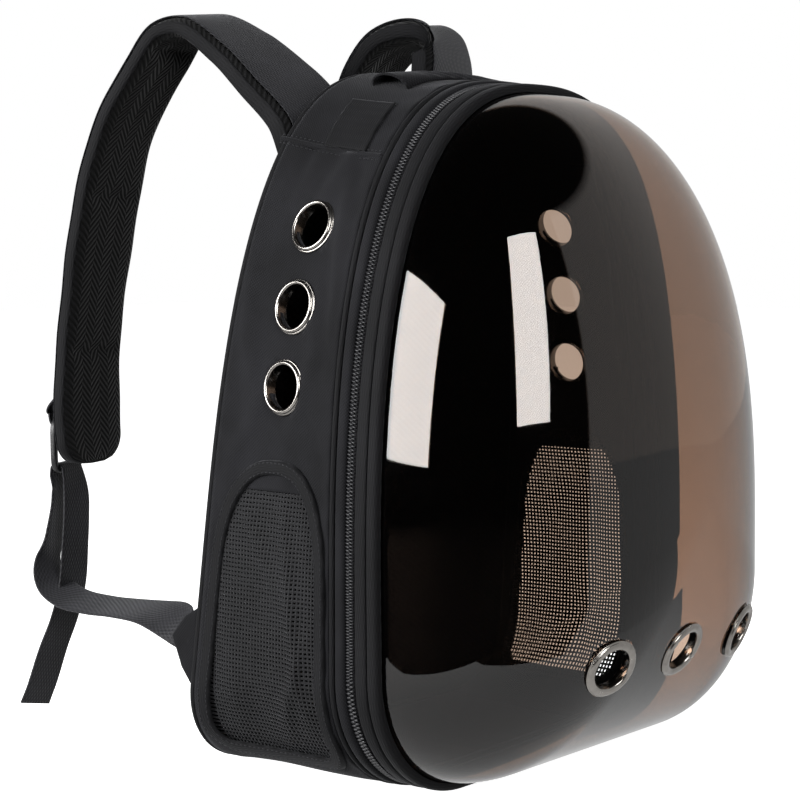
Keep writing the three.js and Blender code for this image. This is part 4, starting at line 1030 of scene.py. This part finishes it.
strapPaths = {name: shoulderStrap(name) for name, _ in sides}
print("straps ready")


# Webbing, buckles and tabs. out, forward, down: shares of the way from the buckle to the tab for the strand,
# and shares of the tail's drop for the loose end.
webbing = {"width": 25.0, "thickness": 1.6, "tail": 150.0, "buckleWidth": 34.0, "buckleHeight": 36.0,
           "buckleThickness": 4.0, "bar": 4.0, "buckleYaw": 22.0, "strapYaw": 12.0,
           "sewnLength": 34.0, "sewnBend": 21.0, "hangIn": 3.0, "hangBack": 21.0, "hangDown": 8.0,
           "tabThickness": 3.0, "tabHigh": 93.0, "tabLow": 46.0, "tabReach": 24.0, "tabInset": 8.0}
strandTable = {
    "columns": ("out", "forward", "down", "yaw", "roll"),
    "rows": (
        (-0.1, -0.015, 0.125, 20, 0), (-0.12, -0.035, 0.275, 22, 2), (-0.02, -0.045, 0.52, 22, 5),
        (0.17, -0.03, 0.74, 20, 10), (0.33, 0.045, 0.9, 12, 14), (0.41, 0.17, 0.985, 4, 16),
        (0.46, 0.35, 1.0, 0, 16), (0.53, 0.526, 0.98, 0, 16), (0.69, 0.73, 0.955, 0, 24),
        (0.88, 0.884, 0.96, 0, 48), (1.0, 1.0, 1.0, 0, 86),
    ),
}
tailTable = {
    "columns": ("out", "back", "down"),
    "rows": (
        (-0.01, -0.01, 0.1), (0.0, -0.02, 0.2), (0.015, -0.025, 0.32), (0.03, -0.02, 0.48),
        (0.06, 0.0, 0.62), (0.1, 0.03, 0.75), (0.14, 0.06, 0.9), (0.16, 0.085, 0.98),
    ),
}


def hangUp(name, side):
    # the buckle hangs behind the strap's end, the loop holds it, and the webbing runs up over its lower bar
    path = strapPaths[name][0]
    end = path[-1]
    yaw = -side * webbing["buckleYaw"]
    behind = np.array([-math.sin(math.radians(yaw)), math.cos(math.radians(yaw)), 0])
    widthWay = np.array([math.cos(math.radians(yaw)), math.sin(math.radians(yaw)), 0])
    hang = end + np.array([-side * webbing["hangIn"], webbing["hangBack"], -webbing["hangDown"]])
    bar, height = webbing["bar"], webbing["buckleHeight"]
    local = lambda back, up: hang + behind * back + np.array([0, 0, up])

    # ladder buckle: a rounded frame with one bar across it
    half = webbing["buckleWidth"] / 2 - bar / 2
    turn = 2 * np.pi * np.arange(64) / 64
    bend = lambda v: np.sign(v) * np.abs(v) ** (2 / 5)
    loop = (hang + widthWay * (half * bend(np.cos(turn)))[:, None]
            + np.array([0, 0, 1.0]) * (height / 2 + (height - bar) / 2 * bend(np.sin(turn)))[:, None])
    loop = resample(loop, 96, True)
    along = unit(np.roll(loop, -1, 0) - np.roll(loop, 1, 0))
    outward = np.cross(along, behind)
    frameSection = boxSection(bar, webbing["buckleThickness"], 3.2, 16, -webbing["buckleThickness"] / 2)
    sweptPiece(f"buckle_{name}_frame", loop, outward, np.broadcast_to(behind, outward.shape), frameSection,
               acetal, "buckle_" + name, isLoop=True)
    line = local(0, height / 2) + widthWay * np.linspace(-half, half, 24)[:, None]
    upright = np.broadcast_to(np.array([0, 0, 1.0]), line.shape)
    sweptPiece(f"buckle_{name}_bar", line, np.broadcast_to(behind, line.shape), upright,
               roundSection(bar / 2, 14, 0.9), acetal)

    seat = math.hypot(bar, webbing["buckleThickness"]) / 2 + 0.45
    upper = height - bar / 2
    strapTurn = math.radians(-side * webbing["strapYaw"])
    off = np.array([-math.sin(strapTurn), math.cos(strapTurn), 0])
    lower = path[len(path) // 2:]

    def onStrap(up, lift):
        z = hang[2] + upper + up
        return np.array([np.interp(-z, -lower[:, 2], lower[:, k]) for k in range(3)]) + off * lift

    under = bag["gap"] + webbing["thickness"] + 0.9
    over = under + bag["gap"] + 0.45
    hook = ((-seat, upper + 5), (-seat, upper), (-seat * 0.7, upper - seat * 0.7), (0, upper - seat),
            (seat * 0.7, upper - seat * 0.7), (seat, upper), (seat, upper + 6))
    stations = [onStrap(webbing["sewnLength"], under), onStrap(webbing["sewnBend"], under),
                *[local(back, up) for back, up in hook],
                onStrap(webbing["sewnBend"], over + bag["gap"]), onStrap(webbing["sewnLength"], over)]
    yaws = [[yaw if 1 < i < 9 else -side * webbing["strapYaw"], 0] for i in range(len(stations))]
    line = smoothLine(np.concatenate([stations, yaws], 1), 120)
    a, b = widthLine(line[:, :3], line[:, 3], line[:, 4])
    flatSection = boxSection(webbing["width"], webbing["thickness"], 8, 24)
    sweptPiece(f"buckle_loop_{name}_webbing", line[:, :3], a, b, flatSection, webbingCloth,
               "buckle_loop_" + name)

    radius = seat + webbing["thickness"]
    turns = np.linspace(0, np.pi, 7)
    over = [local(-radius * math.cos(t), bar / 2 + radius * math.sin(t)) for t in turns]
    tail = np.array(tailTable["rows"])[::-1]
    tailPath = over[0] + np.stack([side * tail[:, 0], tail[:, 1], -tail[:, 2]], -1) * webbing["tail"]
    tabHigh, tabLow = webbing["tabHigh"], webbing["tabLow"]
    inset = webbing["tabInset"] + webbing["tabThickness"] + webbing["thickness"] + 2.2
    tab = np.array([side * (halfWidth - inset), float(backPlane(tabHigh)) + webbing["tabReach"] * 0.62,
                    mix(tabLow, tabHigh, 0.66)])
    strand = np.array(strandTable["rows"])
    strandPath = mix(over[-1], tab, strand[:, :3])
    count = len(tailPath)
    tailTurn = np.stack([yaw * (np.arange(count) + 1) / count * 0.6, np.zeros(count)], -1)
    turning = np.concatenate([tailTurn, np.tile([yaw, 0.0], (len(over), 1)), -side * strand[:, 3:]])
    line = smoothLine(np.concatenate([np.concatenate([tailPath, over, strandPath]), turning], 1), 420)
    a, b = widthLine(line[:, :3], line[:, 3], line[:, 4])
    sweptPiece(f"webbing_{name}_strand", line[:, :3], a, b, flatSection, webbingCloth,
               "webbing_" + name)

    # tab: a folded triangle of cloth, sewn to the lower back edge
    seatAt = bag["binding"] + bag["gap"]
    reach = webbing["tabReach"]
    lowBack, highBack = backPlane(tabLow), backPlane(tabHigh)
    profile = np.array([
        (lowBack + seatAt, tabLow), (highBack + seatAt, tabHigh), (highBack + reach * 0.55, tabHigh - 6),
        (highBack + reach, mix(tabLow, tabHigh, 0.62)), (lowBack + reach * 0.5, mix(tabLow, tabHigh, 0.25)),
    ])
    edge = resample(profile, 120, True)
    middle = edge.mean(0)
    inset = np.array([1, 1, 0.97, 0.9, 0.6, 0.3, 0.05])
    rise = np.array([0.0, 0.35, 0.45, 0.5, 0.5, 0.5, 0.5]) * webbing["tabThickness"]
    outer = side * (halfWidth - webbing["tabInset"] - webbing["tabThickness"] / 2)
    layers = [*zip(inset[::-1], rise[::-1]), *zip(inset[1:], -rise[1:])]
    rings = []
    for scale, lift in layers:
        flat = mix(middle, edge, scale)
        rings.append(np.stack([np.full(120, outer + lift), flat[:, 0], flat[:, 1]], -1))
    rings = np.stack(rings)
    quads, lookup = gridQuads(len(rings), 120, False, True)
    k = np.arange(59)
    cap = np.stack([k, k + 1, 118 - k, 119 - k], -1)
    quads = np.concatenate([quads, cap, cap[:, ::-1] + (len(rings) - 1) * 120])
    lookup = np.concatenate([lookup, cap, cap[:, ::-1] + (len(rings) - 1) * 121])
    uv = np.concatenate([rings[..., 1:], rings[:, :1, 1:]], 1)
    node = "strap_tab_" + name
    makePiece(node + "_cloth", rings, quads, polyester, node, uv, lookup)


for sideName, side in sides:
    hangUp(sideName, side)
print("webbing ready")


# Gathered sleeve over the top, open at both ends, and the patch of grosgrain below each end of it
sleeve = {"halfLength": 50.0, "width": 27.0, "thickness": 1.6, "crown": 1.5, "mouth": 7.0, "setback": 65.0,
          "pleats": 5, "pitch": 10.0, "pleatHeight": 1.2, "patchWidth": 32.0, "patchThickness": 1.4,
          "patchSetback": 62.0, "patchHeight": 36.0}


def topSleeve():
    rows, columns = 141, 41
    run = np.linspace(-sleeve["halfLength"], sleeve["halfLength"], rows)
    x, across = np.meshgrid(run, np.linspace(-1, 1, columns), indexing="ij")
    fine = np.linspace(0.5, 1, 1500)
    fineX = skinFromRing(fine, sleeve["setback"], 0)[:, 0]
    share = np.interp(-np.abs(x), -fineX, fine) * np.where(x < 0, -1, 1)
    rise = mix(sleeve["crown"], sleeve["mouth"], (np.abs(x) / sleeve["halfLength"]) ** 3)
    arch = np.sqrt(np.maximum(1 - across ** 2, 0))
    pleat = np.maximum(0, 1 - np.abs(x) / (sleeve["pleats"] * sleeve["pitch"] / 2 + 6))
    gather = sleeve["pleatHeight"] * np.sqrt(pleat) * np.cos(2 * np.pi * (x + across * 5) / sleeve["pitch"])
    lift = bag["lift"] + bag["gap"] + (rise + gather * 0.9 + sleeve["thickness"]) * arch
    distance = sleeve["setback"] + across * sleeve["width"] / 2
    points = skinFromRing(share, distance, lift)
    quads, lookup = gridQuads(rows, columns)
    grid = pairs(x, distance)
    piece = makePiece("top_sleeve_cloth", points, quads, polyester, "top_sleeve", grid, lookup,
                      (0, 0, 180))
    thicken(piece, sleeve["thickness"] * 0.8)


topSleeve()


def sidePatch(name, side):
    rows, columns = 31, 25
    start = seamArc + 1
    run = np.linspace(start, start + sleeve["patchHeight"], rows)
    arc, v = np.meshgrid(run, np.linspace(-0.5, 0.5, columns), indexing="ij")
    distance = sleeve["patchSetback"] + v * sleeve["patchWidth"]
    lift = bag["lift"] + 0.5 + sleeve["patchThickness"]
    points = skinFromRing(shareAt(arc) * side, distance, lift + 0 * arc)
    quads, lookup = gridQuads(rows, columns)
    piece = makePiece(f"side_patch_{name}_webbing", points, quads, grosgrain, "side_patch_" + name,
                      pairs(arc, distance), lookup, (0, 0, 180))
    thicken(piece, sleeve["patchThickness"])


def panelSeam(name, side):
    # double row of stitches on both sides of the raised seam between the side and the top
    distance = np.linspace(bag["panelStart"] + 1, 112, 90)
    for row, offset in enumerate((-3.2, 2.6)):
        share = shareAt(side * (seamArc + offset)) + 0 * distance
        path = skinFromRing(share, distance, bag["lift"] + 0.25)
        up = unit(skinFromRing(share, distance, bag["lift"] + 2) - path)
        stitchRow(f"panel_stitches_{name}_{row + 1}", path, up, thread)
    share = shareAt(side * seamArc) + 0 * distance
    path = skinFromRing(share, distance, bag["lift"] - 0.5)
    up = unit(skinFromRing(share, distance, bag["lift"] + 2) - path)
    across = np.cross(unit(np.gradient(path, axis=0)), up)
    sweptPiece("panel_seam_" + name, path, across, up, roundSection(1.5, 12, 0.8), polyester)


for sideName, side in sides:
    sidePatch(sideName, side)
    panelSeam(sideName, side)
print("sleeve ready")


# Back: a padded panel of spacer mesh inside a bound edge
back = {"face": 0.8, "crown": 5.0, "padding": 9.0}


def backPanel():
    # rings of the outline shrink to the middle of the back plane; the pad stands out by (1 - r ^ 8) ^ 0.7
    shares = shareAt(np.linspace(-halfRound, halfRound, 301)[:-1])
    r = np.concatenate([np.linspace(1, 0.9, 12), np.linspace(0.9, 0.02, 50)[1:]])
    edge = skinFromBack(shares, back["face"], 0.1)
    centre = np.array([0, 0, 190.0])
    flat = mix(centre, edge[None], r[:, None, None])
    swell = back["crown"] * (1 - r ** 8)[:, None] ** 0.7
    y = backPlane(flat[..., 2]) - back["face"] + swell
    rings = np.stack([flat[..., 0], y, flat[..., 2]], -1)
    tip = np.array([[0, backPlane(190.0) - back["face"] + back["crown"], 190.0]])
    points = np.concatenate([rings.reshape(-1, 3), tip])
    quads, _ = gridQuads(len(r), 300, False, True)
    k = 2 * np.arange(150)
    last = (len(r) - 1) * 300
    fan = np.stack([np.full(150, len(points) - 1), last + (k + 2) % 300, last + k + 1, last + k], -1)
    quads = np.concatenate([quads, fan])
    uv = points[:, [0, 2]]
    piece = makePiece("back_panel_pad", points, quads, airMesh, "back_panel", uv, quads,
                      (0, 0, 180))
    thicken(piece, back["padding"])


backPanel()
turn = circle[::3]
tape = bag["binding"]
section = np.stack([tape * np.cos(turn), bag["lift"] - tape + tape * np.sin(turn)], -1)
backShares = shareAt(np.linspace(-halfRound, halfRound, 421)[:-1])
rings = skinFromBack(backShares[:, None], -section[None, :, 0], section[None, :, 1])
quads, lookup = gridQuads(420, len(section), True, True)
along = np.linspace(0, 2 * halfRound, 421)
uv = np.stack(np.meshgrid(along, np.arange(len(section) + 1) * 0.87, indexing="ij"), -1)
makePiece("back_binding_tape", rings, quads, grosgrain, "back_binding", uv, lookup)
print("back ready")


# Seam thread left inside the right side, with the loose ends of its knots
seamThread = {"distance": 37.0, "low": 66.0, "high": 322.0, "inside": 1.6, "radius": 0.55,
              "knots": ((292, 5.0), (222, 5.0), (197, 4.0), (146, 6.0), (98, 4.0))}
heights = np.linspace(seamThread["low"], seamThread["high"], 160)
wander = seamThread["distance"] + 1.2 * np.sin(heights / 17) + 0.5 * np.sin(heights / 5.1)
line = sidePoint(1, wander, heights, seamThread["inside"])
inwards = unit(sidePoint(1, wander, heights, 0.0) - line)
acrossLine = np.cross(unit(np.gradient(line, axis=0)), inwards)
sweptPiece("seam_thread", line, acrossLine, inwards, roundSection(seamThread["radius"], 8), thread)
for row, (z, long) in enumerate(seamThread["knots"]):
    spot = np.array([np.interp(z, heights, line[:, k]) for k in range(3)])
    reach = np.linspace(-long / 2, long / 2, 12)[:, None]
    tail = spot + reach * np.array([[0.15, 0.9, 0.3]]) + np.array([[-1.2, 0, 0]]) * (1 - np.abs(reach) / long)
    sweptPiece(f"seam_knot_{row + 1}", tail, np.tile([0.0, 0, 1], (12, 1)), np.tile([1.0, 0, 0], (12, 1)),
               roundSection(0.8, 8), thread)
print("seams ready")

# Zip slider: a plain domed body over the coil
slider = {"share": 0.4, "length": 14.0, "width": 8.0, "height": 3.4}
u, v = np.meshgrid(np.linspace(-1, 1, 25), np.linspace(-1, 1, 17), indexing="ij")
arc = float(arcAt(slider["share"])) + u * slider["length"] / 2
body = (1 - np.abs(u) ** 4) ** 0.5 * (1 - np.abs(v) ** 4) ** 0.5
narrow = 1 - 0.3 * np.abs(u) ** 2
distance = zipMiddle + v * narrow * slider["width"] / 2
points = skinFromRing(shareAt(arc), distance, bag["lift"] + 0.2 + slider["height"] * body * 0.9)
quads, lookup = gridQuads(25, 17)
piece = makePiece("zip_slider_body", points, quads, nickel, "zip_slider", pairs(arc, v), lookup,
                  (0, 0, 180))
thicken(piece, 1.2)

# Camera at the photograph's place
view = {"place": (-904.2, -735.2, 299.4), "azimuth": -49.6, "elevation": 4.7, "roll": -0.01, "lens": 89.75}
cameraData = bpy.data.cameras.new("camera")
cameraData.lens = view["lens"]
cameraData.sensor_width = 36.0
cameraData.clip_start, cameraData.clip_end = 0.05, 50.0
camera = bpy.data.objects.new("camera", cameraData)
bpy.context.scene.collection.objects.link(camera)
azimuth, elevation = math.radians(view["azimuth"]), math.radians(view["elevation"])
level = math.cos(elevation)
behind = np.array([math.sin(azimuth) * level, -math.cos(azimuth) * level, math.sin(elevation)])
rightWay = np.array([math.cos(azimuth), math.sin(azimuth), 0.0])
upWay = np.cross(behind, rightWay)
tilt = view["roll"]
cameraRight = rightWay * math.cos(tilt) + upWay * math.sin(tilt)
cameraUp = upWay * math.cos(tilt) - rightWay * math.sin(tilt)
place = np.array(view["place"]) * millimetre
turned = np.stack([cameraRight, cameraUp, behind, place], -1)
camera.matrix_world = Matrix([*turned.tolist(), [0, 0, 0, 1]])
bpy.context.scene.camera = camera
bpy.context.scene.view_settings.view_transform = "Standard"


# Studio: pale surroundings where they are looked at, dim ones in the gloss, and soft light boxes
def addLight(name, place, aim, width, height, power):
    data = bpy.data.lights.new(name, "AREA")
    data.shape, data.size, data.size_y, data.energy = "RECTANGLE", width, height, power
    light = bpy.data.objects.new(name, data)
    bpy.context.scene.collection.objects.link(light)
    light.location = place
    way = unit(np.array(aim, float) - np.array(place, float))
    side = unit(np.cross(way, (0, 0, 1)))
    light.matrix_world = Matrix([[float(side[k]), float(np.cross(side, way)[k]), float(-way[k]), place[k]]
                                 for k in range(3)] + [[0, 0, 0, 1]])
    return light


world = bpy.data.worlds.new("studio")
bpy.context.scene.world = world
world.use_nodes = True
tree = world.node_tree
tree.nodes.clear()
studio = {"wallAzimuth": -6.0, "wall": 0.62, "dark": 0.012, "fill": 0.05, "wallTop": 0.72}
path = addNode(tree, "ShaderNodeLightPath")
# looked at straight or through the dome the surroundings are white, and the gloss and the cloth get a dark
# room with one pale wall on the right
seen = mathNode(tree, "MAXIMUM", path.outputs["Is Camera Ray"], path.outputs["Is Transmission Ray"])
isUnlit = mathNode(tree, "LESS_THAN", path.outputs["Diffuse Depth"], 0.5)
isPlain = mathNode(tree, "LESS_THAN", path.outputs["Glossy Depth"], 0.5)
seen = mathNode(tree, "MULTIPLY", seen, mathNode(tree, "MULTIPLY", isUnlit, isPlain))
way = addNode(tree, "ShaderNodeTexCoord").outputs["Generated"]
wallWay = math.radians(studio["wallAzimuth"] + 90)
settings = {"operation": "DOT_PRODUCT", 1: (math.sin(wallWay), -math.cos(wallWay), 0)}
facing = addNode(tree, "ShaderNodeVectorMath", settings, {0: way}).outputs["Value"]
edge = rangeNode(tree, facing, fromMin=-0.01, fromMax=0.01)
height = addNode(tree, "ShaderNodeSeparateXYZ", None, {0: way}).outputs[2]
ceiling = rangeNode(tree, height, fromMin=studio["wallTop"] + 0.04, fromMax=studio["wallTop"])
glossy = rangeNode(tree, mathNode(tree, "MULTIPLY", edge, ceiling), studio["dark"], studio["wall"])
dim = addNode(tree, "ShaderNodeMix", {"data_type": "FLOAT", 3: studio["fill"]},
              {0: path.outputs["Diffuse Depth"], 2: glossy})
strength = addNode(tree, "ShaderNodeMix", {"data_type": "FLOAT", 3: 1.0}, {0: seen, 2: dim.outputs[0]})
white = {"Color": (1, 1, 1, 1)}
surroundings = addNode(tree, "ShaderNodeBackground", white, {"Strength": strength.outputs[0]})
addNode(tree, "ShaderNodeOutputWorld", None, {"Surface": surroundings.outputs[0]})


def onSphere(azimuthAngle, elevationAngle, reach):
    a, e = math.radians(azimuthAngle), math.radians(elevationAngle)
    return (reach * math.sin(a) * math.cos(e), -reach * math.cos(a) * math.cos(e), 0.2 + reach * math.sin(e))


addLight("box_left", onSphere(-112, 15, 1.6), (-0.1, -0.08, 0.22), 1.5, 0.85, 52)
addLight("box_front", onSphere(-33, 24, 1.6), (-0.1, -0.12, 0.24), 0.45, 1.12, 21)
overhead = addLight("box_top", onSphere(-60, 70, 2.2), (0, 0, 0.2), 1.6, 1.2, 16)
overhead.visible_glossy = overhead.visible_transmission = False

floorMaterial, tree = newMaterial("pale floor")
tone = colourMix(tree, noiseNode(tree, 2.0), "#f4f4f4", "#fafafa")
# pale where it is looked at, straight or through the dome, and dark in the dome's inner reflections
path = addNode(tree, "ShaderNodeLightPath")
bounces = mathNode(tree, "ADD", path.outputs["Glossy Depth"], path.outputs["Diffuse Depth"])
isFirst = mathNode(tree, "LESS_THAN", bounces, 0.5)
shown = addNode(tree, "ShaderNodeMix", {"data_type": "RGBA", 6: (0, 0, 0, 1)}, {0: isFirst, 7: tone})
finishMaterial(tree, {"Roughness": 0.9, "Emission Color": white["Color"]},
               {"Base Color": shown.outputs[2], "Emission Strength": isFirst})


def addPlane(name, corners, material):
    mesh = bpy.data.meshes.new(name)
    mesh.from_pydata(corners, [], [(0, 1, 2, 3)])
    mesh.materials.append(material)
    plane = bpy.data.objects.new(name, mesh)
    bpy.context.scene.collection.objects.link(plane)
    return plane


def levelCorners(low, high, z):
    return [(low[0], low[1], z), (high[0], low[1], z), (high[0], high[1], z), (low[0], high[1], z)]


floor = addPlane("floor", levelCorners((-6, -6), (6, 6), 0), floorMaterial)
floor.visible_glossy = floor.visible_diffuse = False
# the part of the table that the dome mirrors, as a glowing plane: its glow, brightest at its left end, is
# painted light standing for the left light box falling on the table
tableMaterial, tree = newMaterial("glowing table top")
place = addNode(tree, "ShaderNodeTexCoord").outputs["Object"]
spread = addNode(tree, "ShaderNodeSeparateXYZ", None, {0: place}).outputs[0]
# painted light: the glow is strongest at the left end, where the left light box would light the table
glow = rangeNode(tree, spread, 1.2, studio["wall"], -0.47, 0.2)
emission = addNode(tree, "ShaderNodeEmission", white, {"Strength": glow})
addNode(tree, "ShaderNodeOutputMaterial", None, {"Surface": emission.outputs[0]})
table = addPlane("table", levelCorners((-0.47, -0.31), (1.2, 1.2), -0.001), tableMaterial)
table.visible_camera = table.visible_transmission = table.visible_diffuse = False

print("scene ready")
